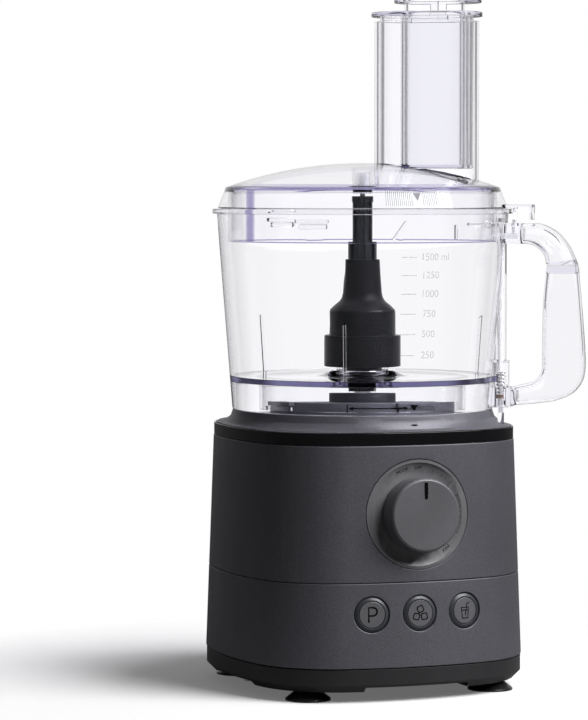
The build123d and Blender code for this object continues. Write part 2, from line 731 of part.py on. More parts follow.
# Interlock: rod with its offset head, return spring, lower guide and the pin and switch in the base.
with BuildPart() as interlock_rod:
    extrude(dots_face(rod_tip, rod_radius, [rod_spot]), amount=284.0 - rod_tip)
    extrude(dots_face(collar_low, 2.9, [rod_spot]), amount=1.0)
    arm = [(rod_reach - 1.4, 280.4), (99.6, 280.4), (99.6, 284.0), (rod_reach - 1.4, 284.0)]
    extrude(profile_face(arm, radial), amount=2.0, both=True)
    extrude(dots_face(283.0, 2.0, [button_spot]), amount=9.4)
save(interlock_rod, "interlock_rod")

with BuildPart() as interlock_bush:
    guide = Plane(origin=polar(rod_reach, handle_turn), x_dir=(1, 0, 0), z_dir=(0, -1, 0))
    bush_shape = [(rod_radius + 0.08, 176.2), (3.5, 176.2), (3.5, 183.2), (rod_radius + 0.08, 183.2)]
    revolve(profile_face(bush_shape, guide), axis=Axis(guide.origin, (0, 0, 1)))
save(interlock_bush, "interlock_bush")

wire_radius = 0.42
coil_radius = 2.55
coil_turns = 6
coil_low = 183.3 + wire_radius
coil_high = collar_low - 0.1 - wire_radius
quarter_rise = (coil_high - coil_low) / (4 * coil_turns)


def coil_point(quarters):
    turn = quarters * pi / 2
    return Vector(rod_spot[0] + coil_radius * cos(turn), rod_spot[1] + coil_radius * sin(turn),
                  coil_low + quarter_rise * quarters)


coil_heading = Vector(0, coil_radius * pi / 2, quarter_rise).normalized()
with BuildPart() as interlock_spring:
    with BuildLine() as coil_path:
        Line(coil_point(0) - coil_heading * 2 * wire_radius, coil_point(0))
        for quarter in range(4 * coil_turns):
            ThreePointArc(coil_point(quarter), coil_point(quarter + 0.5), coil_point(quarter + 1))
        Line(coil_point(4 * coil_turns), coil_point(4 * coil_turns) + coil_heading * 2 * wire_radius)
    with BuildSketch(Plane(coil_path.line @ 0, z_dir=coil_heading)):
        RegularPolygon(wire_radius, 6)
    sweep(path=coil_path.line)
save(interlock_spring, "interlock_spring")

coil_points = [coil_point(step / 4) for step in range(16 * coil_turns + 1)]
coil_gap = min((a - b).length for i, a in enumerate(coil_points) for b in coil_points[i + 8:])
print(f"interlock spring: least gap between turns {coil_gap - 2 * wire_radius:.2f} mm")

with BuildPart() as interlock_pin:
    extrude(dots_face(151.0, 2.0, [rod_spot]), amount=rod_tip - 0.2 - 151.0)
    extrude(dots_face(151.0, 3.2, [rod_spot]), amount=2.0)
save(interlock_pin, "interlock_pin")

with BuildPart() as interlock_switch:
    seat = Plane(origin=polar(rod_reach - 6.0, handle_turn, 136.0),
                 x_dir=(cos(handle_turn), sin(handle_turn), 0), z_dir=(0, 0, 1))
    with BuildSketch(seat):
        Rectangle(19.6, 8.0)
    extrude(amount=12.0)
save(interlock_switch, "interlock_switch")

# Lid: shallow dome, sloping side, inner skirt with lugs, feed chute, bearing boss and lock tab.
lid_low = rim_top + 0.3
dome_rise = dome_height - shoulder_height
dome_radius = (shoulder_reach ** 2 + dome_rise ** 2) / (2 * dome_rise)
dome_centre = (0, 0, dome_height - dome_radius)
with BuildPart() as lid_room:
    extrude(ring_face(277.0, 82.2), amount=60.0)
    with Locations(dome_centre):
        Sphere(dome_radius - clear_wall, rotation=(90, 0, 0), mode=Mode.INTERSECT)

with BuildPart() as lid:
    lid_side = [(0, 278.5), (84.6, 278.5), (84.6, 304.0), (88.9, lid_low), (91.3, lid_low),
                (shoulder_reach, shoulder_height), (shoulder_reach, dome_height + 1), (0, dome_height + 1)]
    revolve(profile_face(lid_side), axis=Axis.Z)
    with Locations(dome_centre):
        Sphere(dome_radius, rotation=(90, 0, 0), mode=Mode.INTERSECT)
    add(lid_room.part, mode=Mode.SUBTRACT)
    extrude(slot_face(311.0, chute_reach, chute_length, chute_width), amount=chute_top - 311.0)
    extrude(ring_face(308.6, 6.6), amount=17.4)
    for place in (handle_angle - 98, handle_angle + 22, handle_angle + 142):
        extrude(sector_face(287.0, 83.2, 87.0, place, 12.0), amount=3.2)
    extrude(slot_face(300.0, chute_reach, chute_length - 4.8, chute_width - 4.8), amount=130.0,
            mode=Mode.SUBTRACT)
    tab = [(89.6, lid_low + 0.2), (96.0, lid_low + 0.2), (96.0, 296.8), (107.0, 296.8), (107.0, 292.4),
           (108.8, 292.4), (108.8, 301.8), (88.6, 301.8)]
    extrude(profile_face(tab, radial), amount=6.0, both=True)
    tab_hollow = [(97.4, 296.0), (107.1, 296.0), (107.1, 300.0), (97.4, 300.0)]
    extrude(profile_face(tab_hollow, radial), amount=4.4, both=True, mode=Mode.SUBTRACT)
    prong = [(96.4, 300.4), (96.4, 292.9), (98.8, 292.9), (98.8, 300.4)]
    extrude(profile_face(prong, radial), amount=2.0, both=True)
    extrude(ring_face(308.0, 4.02), amount=14.2, mode=Mode.SUBTRACT)
save(lid, "lid")

with BuildPart() as lid_bush:
    extrude(ring_face(308.8, 4.0, 1.66), amount=13.0)
save(lid_bush, "lid_bush")

# Pushers: the large one carries a sleeve for the small one, which is a cup.
large_length = chute_length - 7.2
large_width = chute_width - 6.8
large_low = 324.0
large_flange = 418.6
with BuildPart() as large_pusher:
    extrude(slot_face(large_low, chute_reach, large_length, large_width), amount=large_flange - large_low)
    extrude(slot_face(large_low + 2.2, chute_reach, large_length - 4.4, large_width - 4.4),
            amount=100.0, mode=Mode.SUBTRACT)
    extrude(slot_face(large_low, small_reach, 43.0, 30.0), amount=large_flange - large_low)
    extrude(slot_face(large_flange, chute_reach, 70.0, 46.0), amount=2.9)
    extrude(slot_face(large_low - 1, small_reach, 39.0, 26.0), amount=110.0, mode=Mode.SUBTRACT)
    for side in (-1, 1):
        for reach in (chute_reach - 22, chute_reach + 14):
            rest = Plane(origin=polar(reach, handle_turn, chute_top + 0.1),
                         x_dir=(cos(handle_turn), sin(handle_turn), 0), z_dir=(0, 0, 1))
            with BuildSketch(rest):
                with Locations((0, side * (large_width / 2 + 0.8))):
                    Rectangle(6.0, 4.4)
            extrude(amount=large_flange - chute_top)
save(large_pusher, "large_pusher")

with BuildPart() as small_pusher:
    extrude(slot_face(large_low + 0.5, small_reach, 38.0, 25.0), amount=430.0 - large_low - 0.5)
    extrude(slot_face(427.2, small_reach + 2.0, 55.0, 39.0), amount=2.8)
    extrude(slot_face(large_low + 2.7, small_reach, 34.0, 21.0), amount=120.0, mode=Mode.SUBTRACT)
    for side in (-1, 1):
        rest = Plane(origin=polar(small_reach, handle_turn, large_flange + 3.0),
                     x_dir=(cos(handle_turn), sin(handle_turn), 0), z_dir=(0, 0, 1))
        with BuildSketch(rest):
            with Locations((0, side * 13.6)):
                Rectangle(10.0, 4.0)
        extrude(amount=427.4 - large_flange - 3.0)
save(small_pusher, "small_pusher")
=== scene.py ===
import bpy
import bmesh
import json
from math import copysign, cos, pi, radians, sin, sqrt
from mathutils import Matrix, Vector


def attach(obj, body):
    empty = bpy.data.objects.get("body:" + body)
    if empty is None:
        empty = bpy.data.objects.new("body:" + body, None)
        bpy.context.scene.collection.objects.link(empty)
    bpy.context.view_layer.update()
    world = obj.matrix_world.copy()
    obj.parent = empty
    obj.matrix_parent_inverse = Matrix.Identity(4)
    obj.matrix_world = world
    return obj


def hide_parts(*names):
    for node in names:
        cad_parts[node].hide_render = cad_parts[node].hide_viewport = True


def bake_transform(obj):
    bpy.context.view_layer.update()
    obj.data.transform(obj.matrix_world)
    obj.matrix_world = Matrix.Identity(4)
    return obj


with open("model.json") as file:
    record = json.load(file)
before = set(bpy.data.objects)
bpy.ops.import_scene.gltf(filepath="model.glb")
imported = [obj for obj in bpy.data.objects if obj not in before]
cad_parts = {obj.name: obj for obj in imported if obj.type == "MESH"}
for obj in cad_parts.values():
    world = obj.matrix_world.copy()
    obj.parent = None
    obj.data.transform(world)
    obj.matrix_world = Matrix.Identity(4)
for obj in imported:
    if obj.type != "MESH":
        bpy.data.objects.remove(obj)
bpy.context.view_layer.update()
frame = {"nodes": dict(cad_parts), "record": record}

nodes = frame["nodes"]
scene = bpy.context.scene
mm = 0.001
weldGap = 2e-6
sliverGap = 1e-6
bumpDepth = 0.0002
upward = Vector((0, 0, 1))
handleTurn = radians(-35.0)
outward = Vector((cos(handleTurn), sin(handleTurn), 0))
aside = Vector((-sin(handleTurn), cos(handleTurn), 0))


def setAll(target, settings):
    for key, value in settings.items():
        setattr(target, key, value)
    return target


# a socket that takes part in sums
class Tap:
    def __init__(self, finish, socket):
        self.finish = finish
        self.socket = socket

    def maths(self, operation, first, second):
        return self.finish.add("ShaderNodeMath", {"operation": operation}, {0: first, 1: second})

    def __add__(self, other): return self.maths("ADD", self, other)
    def __radd__(self, other): return self.maths("ADD", other, self)
    def __sub__(self, other): return self.maths("SUBTRACT", self, other)
    def __rsub__(self, other): return self.maths("SUBTRACT", other, self)
    def __mul__(self, other): return self.maths("MULTIPLY", self, other)
    def __rmul__(self, other): return self.maths("MULTIPLY", other, self)
    def __gt__(self, other): return self.maths("GREATER_THAN", self, other)
    def __lt__(self, other): return self.maths("LESS_THAN", self, other)


# a node tree in the making
class Finish:
    def __init__(self, name, tree=None):
        if tree is None:
            self.material = bpy.data.materials.new(name)
            self.material.use_nodes = True
            tree = self.material.node_tree
        self.tree = tree
        self.tree.nodes.clear()

    def add(self, kind, settings=None, inputs=None, out=0):
        made = setAll(self.tree.nodes.new(kind), settings or {})
        for key, value in (inputs or {}).items():
            if isinstance(value, Tap):
                self.tree.links.new(value.socket, made.inputs[key])
            else:
                colour = made.inputs[key].type == "RGBA"
                made.inputs[key].default_value = (*value, 1.0) if colour else value
        return Tap(self, made.outputs[out]) if made.outputs else None

    def place(self):
        return self.add("ShaderNodeTexCoord", out="Object")

    def noise(self, scale, detail=2.0, rough=0.5, vector=None):
        return self.add("ShaderNodeTexNoise", None, {"Vector": vector or self.place(), "Scale": scale,
                                                     "Detail": detail, "Roughness": rough})

    def between(self, value, low, high, toLow=0.0, toHigh=1.0):
        return self.add("ShaderNodeMapRange", {"clamp": True},
                        {"Value": value, "From Min": low, "From Max": high, "To Min": toLow, "To Max": toHigh})

    def dot(self, vector, along):
        return self.add("ShaderNodeVectorMath", {"operation": "DOT_PRODUCT"}, {0: vector, 1: along}, out="Value")

    def reach(self):
        level = self.add("ShaderNodeVectorMath", {"operation": "MULTIPLY"}, {0: self.place(), 1: (1.0, 1.0, 0.0)})
        return self.add("ShaderNodeVectorMath", {"operation": "LENGTH"}, {0: level}, out="Value")

    def path(self, name):
        return self.add("ShaderNodeLightPath", out=name)

    def mix(self, share, first, second):
        return self.add("ShaderNodeMix", {"data_type": "RGBA"}, {"Factor": share, 6: first, 7: second}, out=2)

    def bump(self, height, strength, distance):
        return self.add("ShaderNodeBump", None, {"Height": height, "Strength": strength, "Distance": distance})

    def shader(self, **inputs):
        return self.add("ShaderNodeBsdfPrincipled", None, {k.replace("_", " "): v for k, v in inputs.items()})

    def blend(self, share, first, second):
        return self.add("ShaderNodeMixShader", None, {0: share, 1: first, 2: second})

    def done(self, surface, volume=None):
        self.add("ShaderNodeOutputMaterial", None,
                 {"Surface": surface} if volume is None else {"Surface": surface, "Volume": volume})
        return self.material


# charcoal shells: matt paint with a fine metallic fleck; the deck's platform under the bowl and its bearing boss
# take painted shade, the boss near black
charcoalLook = {
    "dark": (0.090, 0.089, 0.102), "light": (0.147, 0.145, 0.166),
    "fleck": (0.25, 0.245, 0.27), "fleckGrain": 1.7, "fleckShare": 0.6, "fleckRange": (0.64, 0.74),
    "paintedPlatformShade": (0.080, 0.080, 0.094), "paintedBossShade": (0.018, 0.018, 0.023), "soft": 0.0004,
    "grain": 2100.0, "cloud": 18.0, "rough": 0.50, "specular": 0.3, "metal": 0.6, "bump": 0.14}


def charcoalPaint(name, look, inner=()):
    f = Finish(name)
    grain = f.noise(look["grain"], 2.0)
    fleck = f.between(f.noise(look["grain"] * look["fleckGrain"], 1.0), *look["fleckRange"])
    cloud = f.between(f.noise(look["cloud"], 3.0), 0.3, 0.7)
    base = f.mix(f.between(grain, 0.32, 0.68), look["dark"], look["light"])
    colour = f.mix(fleck * look["fleckShare"], base, look["fleck"])
    # painted shade: rings of darker colour inward of the given reaches
    for edge, key in inner:
        colour = f.mix(f.between(f.reach(), edge, edge + look["soft"]), look[key], colour)
    rough = f.between(cloud * 0.5 + grain * 0.5, 0.2, 0.8, look["rough"] - 0.05, look["rough"] + 0.07)
    return f.done(f.shader(Base_Color=colour, Roughness=rough, Specular_IOR_Level=look["specular"],
                           Metallic=look["metal"], Normal=f.bump(grain, look["bump"], bumpDepth)))


# satin moulded plastic for the dial, the cover and other dark parts
def satinPlastic(name, dark, light, rough, grain=1800.0, bump=0.08, specular=0.4, metallic=0.0):
    f = Finish(name)
    fine = f.noise(grain, 3.0)
    cloud = f.noise(30.0, 3.0)
    colour = f.mix(f.between(fine * 0.6 + cloud * 0.4, 0.3, 0.7), dark, light)
    return f.done(f.shader(Base_Color=colour, Roughness=f.between(cloud, 0.3, 0.7, rough - 0.05, rough + 0.05),
                           Specular_IOR_Level=specular, Metallic=metallic, Normal=f.bump(fine, bump, bumpDepth)))


# polished plastic with faint smears
def polishedPlastic(name, dark, light, rough=0.09):
    f = Finish(name)
    smear = f.noise(26.0, 4.0, 0.6)
    colour = f.mix(smear, dark, light)
    return f.done(f.shader(Base_Color=colour, Roughness=f.between(smear, 0.3, 0.75, rough * 0.7, rough * 1.6)))


# metals with fine lines or a cast grain
def groundMetal(name, dark, light, rough, stretch=(4.0, 4.0, 900.0)):
    f = Finish(name)
    lay = f.add("ShaderNodeMapping", None, {"Vector": f.place(), "Scale": stretch})
    lines = f.noise(1.0, 3.0, 0.6, vector=lay)
    return f.done(
        f.shader(Base_Color=f.mix(lines, dark, light), Metallic=1.0,
                 Roughness=f.between(lines, 0.3, 0.7, rough - 0.07, rough + 0.07),
                 Normal=f.bump(lines, 0.05, bumpDepth / 2)))


# clear plastic: lamps pass through, thick edges take a violet tint; a painted violet edge tint can be mixed into
# the colour
clearLook = {
    "tint": (1.0, 1.0, 1.0), "edge": (0.42, 0.40, 0.61), "density": 21.0, "ior": 1.49,
    "rough": 0.008, "sheen": (0.07, 0.07, 0.07), "paintedEdgeTint": (0.37, 0.34, 0.55),
    "shadow": (0.95, 0.95, 0.965), "ripple": 22.0, "wave": 0.015, "waveDepth": 0.0006}


def clearPlastic(name, look, paintedEdgeMask=None):
    f = Finish(name)
    ripple = f.noise(look["ripple"], 2.0)
    # painted violet edge tint wherever the given mask is set
    colour = f.mix(paintedEdgeMask(f), look["tint"], look["paintedEdgeTint"]) if paintedEdgeMask else look["tint"]
    rough = f.between(ripple, 0.4, 0.7, look["rough"] * 0.5, look["rough"] * 2.0)
    glass = f.shader(Base_Color=colour, Roughness=rough, IOR=look["ior"], Transmission_Weight=1.0,
                     Specular_Tint=look["sheen"], Normal=f.bump(ripple, look["wave"], look["waveDepth"]))
    through = f.add("ShaderNodeBsdfTransparent", None, {"Color": look["shadow"]})
    surface = f.blend(f.path("Is Shadow Ray"), glass, through)
    return f.done(surface, f.add("ShaderNodeVolumeAbsorption", None,
                                 {"Color": look["edge"], "Density": look["density"]}))


# hazy clear plastic for the rod and the lid's bush
def hazyPlastic(name, share):
    f = Finish(name)
    cloud = f.noise(300.0, 3.0)
    return f.done(
        f.shader(Base_Color=f.mix(cloud, (0.86, 0.86, 0.88), (0.93, 0.93, 0.95)),
                 IOR=clearLook["ior"], Transmission_Weight=share,
                 Roughness=f.between(cloud, 0.3, 0.7, 0.12, 0.22)))


# the rod's guide: brown at its upper end, clear below
def guidePlastic(name, look, level, soft=0.0003):
    f = Finish(name)
    cloud = f.noise(500.0, 3.0)
    brown = f.shader(Base_Color=f.mix(cloud, (0.10, 0.062, 0.050), (0.16, 0.10, 0.08)),
                     Roughness=f.between(cloud, 0.3, 0.7, 0.4, 0.5))
    glass = f.shader(Base_Color=look["tint"], Roughness=0.01, IOR=look["ior"], Transmission_Weight=1.0,
                     Specular_Tint=look["sheen"])
    height = f.dot(f.place(), upward)
    return f.done(f.blend(f.between(height, level, level + soft), glass, brown))


# printed ink, worn thin in places; share is how much of it covers
def printInk(name, dark, light, share=1.0, worn=0.94, specular=0.05):
    f = Finish(name)
    wear = f.noise(900.0, 3.0)
    ink = f.shader(Base_Color=f.mix(wear, dark, light), Roughness=f.between(wear, 0.3, 0.7, 0.42, 0.6),
                   Specular_IOR_Level=specular)
    bare = f.add("ShaderNodeBsdfTransparent", None, {"Color": (1, 1, 1)})
    return f.done(f.blend(f.between(wear, 0.25, 0.6, share * worn, share), bare, ink))


finishes = {
    "charcoal": charcoalPaint("charcoalPaint", charcoalLook),
    "gloss_black": polishedPlastic("blackBand", (0.003, 0.003, 0.0035), (0.005, 0.005, 0.006), 0.09),
    "dark_grey": satinPlastic("coverPlastic", (0.012, 0.012, 0.013), (0.021, 0.021, 0.023), 0.46),
    "knob_grey": satinPlastic("dialPlastic", (0.112, 0.111, 0.120), (0.157, 0.155, 0.168), 0.44,
                              specular=0.35, metallic=0.35),
    "ring_grey": polishedPlastic("buttonRing", (0.028, 0.031, 0.037), (0.042, 0.046, 0.054), 0.34),
    "pointer": polishedPlastic("pointerInset", (0.004, 0.004, 0.005), (0.007, 0.007, 0.008), 0.25),
    "clear": clearPlastic("clearPlastic", clearLook),
    "black_plastic": satinPlastic("toolBlack", (0.004, 0.004, 0.005), (0.007, 0.0075, 0.009), 0.34,
                                  specular=0.09),
    "white_plastic": satinPlastic("gearWhite", (0.66, 0.66, 0.65), (0.74, 0.74, 0.72), 0.40),
    "brown_plastic": guidePlastic("guideBrown", clearLook, 0.1807),
    "rubber": satinPlastic("footRubber", (0.008, 0.008, 0.008), (0.016, 0.016, 0.016), 0.30, 900.0, 0.10),
    "steel": groundMetal("groundSteel", (0.50, 0.50, 0.51), (0.62, 0.62, 0.63), 0.28),
    "lamination": groundMetal("coreSheet", (0.17, 0.17, 0.18), (0.27, 0.27, 0.28), 0.42,
                              (4.0, 4.0, 2200.0)),
    "copper": groundMetal("coilCopper", (0.50, 0.20, 0.08), (0.68, 0.30, 0.14), 0.34, (4.0, 4.0, 1500.0)),
    "carbon": satinPlastic("brushCarbon", (0.014, 0.014, 0.015), (0.028, 0.028, 0.030), 0.5),
    "aluminium": groundMetal("castAluminium", (0.52, 0.53, 0.55), (0.64, 0.65, 0.67), 0.40,
                             (260.0, 260.0, 260.0)),
    "board": satinPlastic("boardGreen", (0.014, 0.10, 0.045), (0.026, 0.15, 0.07), 0.35),
}
inks = {
    "black": printInk("inkBlack", (0.0012, 0.0012, 0.0014), (0.003, 0.003, 0.0034)),
    "faint": printInk("inkFaint", (0.46, 0.46, 0.49), (0.55, 0.55, 0.58), 0.36),
    "grey": printInk("inkGrey", (0.26, 0.26, 0.29), (0.32, 0.32, 0.35), 0.9),
}


# loose triangles are welded and shaded smooth, past a crease angle with sharp edges
def softShading(name, crease):
    group = bpy.data.node_groups.new(name, "GeometryNodeTree")
    for way in ("INPUT", "OUTPUT"):
        group.interface.new_socket("Geometry", in_out=way, socket_type="NodeSocketGeometry")
    f = Finish(name, group)
    weld = f.add("GeometryNodeMergeByDistance", None, {"Geometry": f.add("NodeGroupInput"), "Distance": weldGap})
    faces = f.add("GeometryNodeSetShadeSmooth", None, {"Geometry": weld})
    angle = f.add("GeometryNodeInputMeshEdgeAngle", out="Unsigned Angle")
    sharp = f.add("FunctionNodeCompare", {"operation": "GREATER_THAN"}, {"A": angle, "B": radians(crease)})
    edges = f.add("GeometryNodeSetShadeSmooth", {"domain": "EDGE"},
                  {"Geometry": faces, "Selection": sharp, "Shade Smooth": False})
    f.add("NodeGroupOutput", None, {0: edges})
    return group


# CAD nodes keep their meshes: finish by slot or by node, soft edges in mm on those that show
creased = softShading("softShading", 28.0)
welded = softShading("weldedSmooth", 181.0)
edgeForm = {"flat": 0.5, "segments": 3, "least": 33.0}
softEdges = {
    "lower_housing": 0.6, "upper_housing": 0.6, "trim_band": 0.3, "top_deck": 0.5, "bottom_cover": 0.8,
    "suction_feet": 0.6, "dial_bezel": 0.35, "speed_knob": 0.45, "knob_pointer": 0.15,
    "pulse_button": 0.45, "ice_button": 0.45, "drink_button": 0.45, "cord_gland": 0.5, "tool_post": 0.25,
    "handle_brackets": 0.5, "lid_bush": 0.2}
# painted shade on the deck: the platform under the bowl a little darker than the collar, the bearing boss near
# black
deckPaintedShadeRings = ((0.0705, "paintedPlatformShade"), (0.0213, "paintedBossShade"))
ownFinish = {
    "dial_bezel": satinPlastic("bezelMetal", (0.150, 0.148, 0.158), (0.195, 0.192, 0.203), 0.36,
                               metallic=0.3),
    "top_deck": charcoalPaint("deckPaintAndShade", charcoalLook, deckPaintedShadeRings),
    "interlock_pin": finishes["clear"],
    "interlock_rod": hazyPlastic("rodPlastic", 0.55),
    "lid_bush": hazyPlastic("bushPlastic", 0.7),
    "spindle_pin": groundMetal("darkSteel", (0.10, 0.10, 0.11), (0.17, 0.17, 0.18), 0.30),
    "tool_post": satinPlastic("postBlack", (0.005, 0.006, 0.008), (0.009, 0.010, 0.013), 0.34,
                              bump=0.02, specular=0.22),
}
for part in frame["record"]["subparts"]:
    owner = nodes[part["node"]]
    owner.data.materials.clear()
    owner.data.materials.append(ownFinish.get(part["node"], finishes[part["material_slot"]]))
    width = softEdges.get(part["node"])
    owner.modifiers.new("softShading", "NODES").node_group = welded if width else creased
    if width:
        setAll(owner.modifiers.new("flatFaces", "DECIMATE"),
               {"decimate_type": "DISSOLVE", "angle_limit": radians(edgeForm["flat"])})
        setAll(owner.modifiers.new("softEdges", "BEVEL"),
               {"width": width * mm, "segments": edgeForm["segments"], "limit_method": "ANGLE",
                "angle_limit": radians(edgeForm["least"]),
                "use_clamp_overlap": part["material_slot"] != "charcoal"})
        owner.modifiers.new("evenNormals", "WEIGHTED_NORMAL")


def asObject(bm, name):
    data = bpy.data.meshes.new(name)
    bm.to_mesh(data)
    bm.free()
    made = bpy.data.objects.new(name, data)
    scene.collection.objects.link(made)
    return made


# finished pieces stand at the origin, with sharp edges only past the crease angle
def piece(name, bm, body, slotName, *stands, crease=34.0, finish=None, stretch=None):
    for face in bm.faces:
        face.smooth = True
    for e in bm.edges:
        e.smooth = len(e.link_faces) == 2 and e.calc_face_angle() < radians(crease)
    made = asObject(bm, name)
    made.data.materials.append(finish or finishes[slotName])
    made.modifiers.new("evenNormals", "WEIGHTED_NORMAL").keep_sharp = True
    if stretch:
        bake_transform(made)
    else:
        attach(made, body)
    if stands:
        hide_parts(*stands)
    return made


def roundOff(bm, edges, offset, steps):
    bmesh.ops.bevel(bm, geom=edges, offset=offset * mm, offset_type="OFFSET", segments=steps, profile=0.5,
                    affect="EDGES", clamp_overlap=True, material=-1)


def settle(bm, edge=0.0, steps=2, least=30.0):
    bmesh.ops.remove_doubles(bm, verts=bm.verts[:], dist=weldGap)
    bmesh.ops.recalc_face_normals(bm, faces=bm.faces[:])
    if edge:
        sharp = [e for e in bm.edges if len(e.link_faces) == 2 and e.calc_face_angle() > radians(least)]
        roundOff(bm, sharp, edge, steps)
    return bm


# Boolean steps on a base mesh, evaluated once
def carve(bm, *steps):
    base = asObject(bm, "carveBase")
    helpers = [base]
    for how, tool in steps:
        other = asObject(tool, "carveTool")
        helpers.append(other)
        setAll(base.modifiers.new(how, "BOOLEAN"), {"operation": how, "solver": "EXACT", "object": other})
    data = bpy.data.meshes.new_from_object(base.evaluated_get(bpy.context.evaluated_depsgraph_get()))
    done = bmesh.new()
    done.from_mesh(data)
    for helper in helpers:
        used = helper.data
        bpy.data.objects.remove(helper)
        bpy.data.meshes.remove(used)
    bpy.data.meshes.remove(data)
    bmesh.ops.dissolve_degenerate(done, dist=sliverGap, edges=done.edges[:])
    return done


# adds one mesh to another as it is
def join(target, extra):
    data = bpy.data.meshes.new("joined")
    extra.to_mesh(data)
    extra.free()
    target.from_mesh(data)
    bpy.data.meshes.remove(data)


def sized(*sizes):
    return Matrix.Diagonal(Vector((*sizes, 1 / mm)) * mm)


def lathe(profile, steps=128, edge=0.0, closed=True):
    bm = bmesh.new()
    ring = [bm.verts.new((r * mm, 0, z * mm)) for r, z in profile]
    edges = [bm.edges.new(pair) for pair in zip(ring, ring[1:] + ring[:1] if closed else ring[1:])]
    bmesh.ops.spin(bm, geom=ring + edges, cent=(0, 0, 0), axis=(0, 0, 1), angle=2 * pi, steps=steps, use_merge=True)
    return settle(bm, edge)


def column(radius, low, high, at=(0, 0), steps=40, edge=0.0):
    bm = bmesh.new()
    bmesh.ops.create_cone(bm, cap_ends=True, segments=steps, radius1=radius * mm, radius2=radius * mm,
                          depth=(high - low) * mm, matrix=Matrix.Translation(Vector((*at, (low + high) / 2)) * mm))
    return settle(bm, edge)


def only(kind, geom):
    return [g for g in geom if isinstance(g, kind)]


def thicken(bm, face, vector):
    moved = bmesh.ops.extrude_face_region(bm, geom=[face])
    bmesh.ops.translate(bm, verts=only(bmesh.types.BMVert, moved["geom"]), vec=vector)
    return bm


# upright outline in (reach, height) at a turn about the drive axis, thick both ways
def slab(points, half, turn=handleTurn, edge=0.0):
    bm = bmesh.new()
    along = Vector((cos(turn), sin(turn), 0))
    wide = Vector((-sin(turn), cos(turn), 0))
    face = bm.faces.new([bm.verts.new((along * r + upward * z - wide * half) * mm) for r, z in points])
    return settle(thicken(bm, face, wide * 2 * half * mm), edge)


# part of a ring about the drive axis, its width and middle in degrees
def sector(low, high, inner, outer, width, middle, steps=12, edge=0.0):
    bm = bmesh.new()
    start = Matrix.Rotation(radians(middle - width / 2), 3, "Z")
    corners = ((inner, low), (outer, low), (outer, high), (inner, high))
    ring = [bm.verts.new(start @ Vector((r, 0, z)) * mm) for r, z in corners]
    edges = [bm.edges.new(pair) for pair in zip(ring, ring[1:] + ring[:1])]
    spun = bmesh.ops.spin(bm, geom=ring + edges, cent=(0, 0, 0), axis=(0, 0, 1), angle=radians(width), steps=steps)
    bmesh.ops.contextual_create(bm, geom=edges)
    bmesh.ops.contextual_create(bm, geom=only(bmesh.types.BMEdge, spun["geom_last"]))
    return settle(bm, edge)


# straight-sided oval column, its length along the handle's direction
def oval(length, width, reach, low, high, edge=0.0, steps=64):
    bm = bmesh.new()
    made = bmesh.ops.create_circle(bm, cap_ends=True, segments=steps, radius=width / 2 * mm,
                                   matrix=Matrix.Rotation(pi / steps, 4, "Z"))
    for v in made["verts"]:
        v.co.x += copysign((length - width) / 2 * mm, v.co.x)
    thicken(bm, bm.faces[:][0], upward * (high - low) * mm)
    place = Matrix.Translation((outward * reach + upward * low) * mm) @ Matrix.Rotation(handleTurn, 4, "Z")
    bmesh.ops.transform(bm, verts=bm.verts[:], matrix=place)
    return settle(bm, edge)


# upright box placed by reach along the handle's direction and distance beside it
def block(reach, beside, low, high, long, wide, edge=0.0):
    bm = bmesh.new()
    centre = outward * reach + aside * beside + upward * (low + high) / 2
    place = Matrix.Translation(centre * mm) @ Matrix.Rotation(handleTurn, 4, "Z")
    bmesh.ops.create_cube(bm, size=1.0, matrix=place @ sized(long, wide, high - low))
    return settle(bm, edge)


# short raised bar on the lid's skirt, from one turn and height to another
def bar(startTurn, startHeight, endTurn, endHeight, radius=84.9, wide=1.6, deep=2.4, edge=0.35):
    ends = [Vector((radius * cos(radians(a)), radius * sin(radians(a)), z))
            for a, z in ((startTurn, startHeight), (endTurn, endHeight))]
    run = ends[0] - ends[1]
    middle = (ends[0] + ends[1]) / 2
    outer = Vector((middle.x, middle.y, 0)).normalized()
    axes = Matrix((outer, run.normalized().cross(outer), run.normalized())).transposed().to_4x4()
    bm = bmesh.new()
    place = Matrix.Translation(middle * mm) @ axes
    bmesh.ops.create_cube(bm, size=1.0, matrix=place @ sized(deep, wide, run.length))
    return settle(bm, edge)


# clear bowl: conical wall with rim, floor with drive tube, bayonet ring, lugs, ribs and the rod's guide tube
bowlForm = {
    "profile": [(82.0, 173.7), (91.7, 296), (94.5, 296), (94.5, 299), (89.4, 299), (81.15, 194.2),
                (29.0, 194.2), (26.0, 194.5), (23.8, 195.2), (22.2, 196.2), (20.4, 197.2), (19.2, 197.5),
                (16.4, 197.5), (16.4, 214), (13.4, 214), (13.4, 191.2), (62.6, 191.2), (62.6, 175.3),
                (65, 175.3), (65, 191.2), (79.5, 191.2), (79.5, 173.7)],
    "edge": 0.45, "steps": 160, "foot": (82.0, 173.5), "slope": 0.07918,
    "lowLugs": (10, 100, 190, 280), "lowLug": (175.3, 178.0, 59.0, 63.0, 24.0),
    "highLugs": (-133, -13, 107), "highLug": (290.6, 293.0, 86.4, 89.6, 14.0),
    "ribs": (-120, 0, 120), "rib": ([(79.15, 193.4), (82.25, 193.4), (84.6, 231), (81.6, 229)], 0.8),
    "rod": 88.6, "tube": (3.3, 204.65, 289.6), "bore": (1.75, 175.0, 288.4),
    "headRoom": ([(86.85, 278.9), (100.2, 278.9), (100.2, 288.4), (86.85, 288.4)], 2.4)}


def bowlOuter(height):
    footRadius, footHeight = bowlForm["foot"]
    return footRadius + (height - footHeight) * bowlForm["slope"]


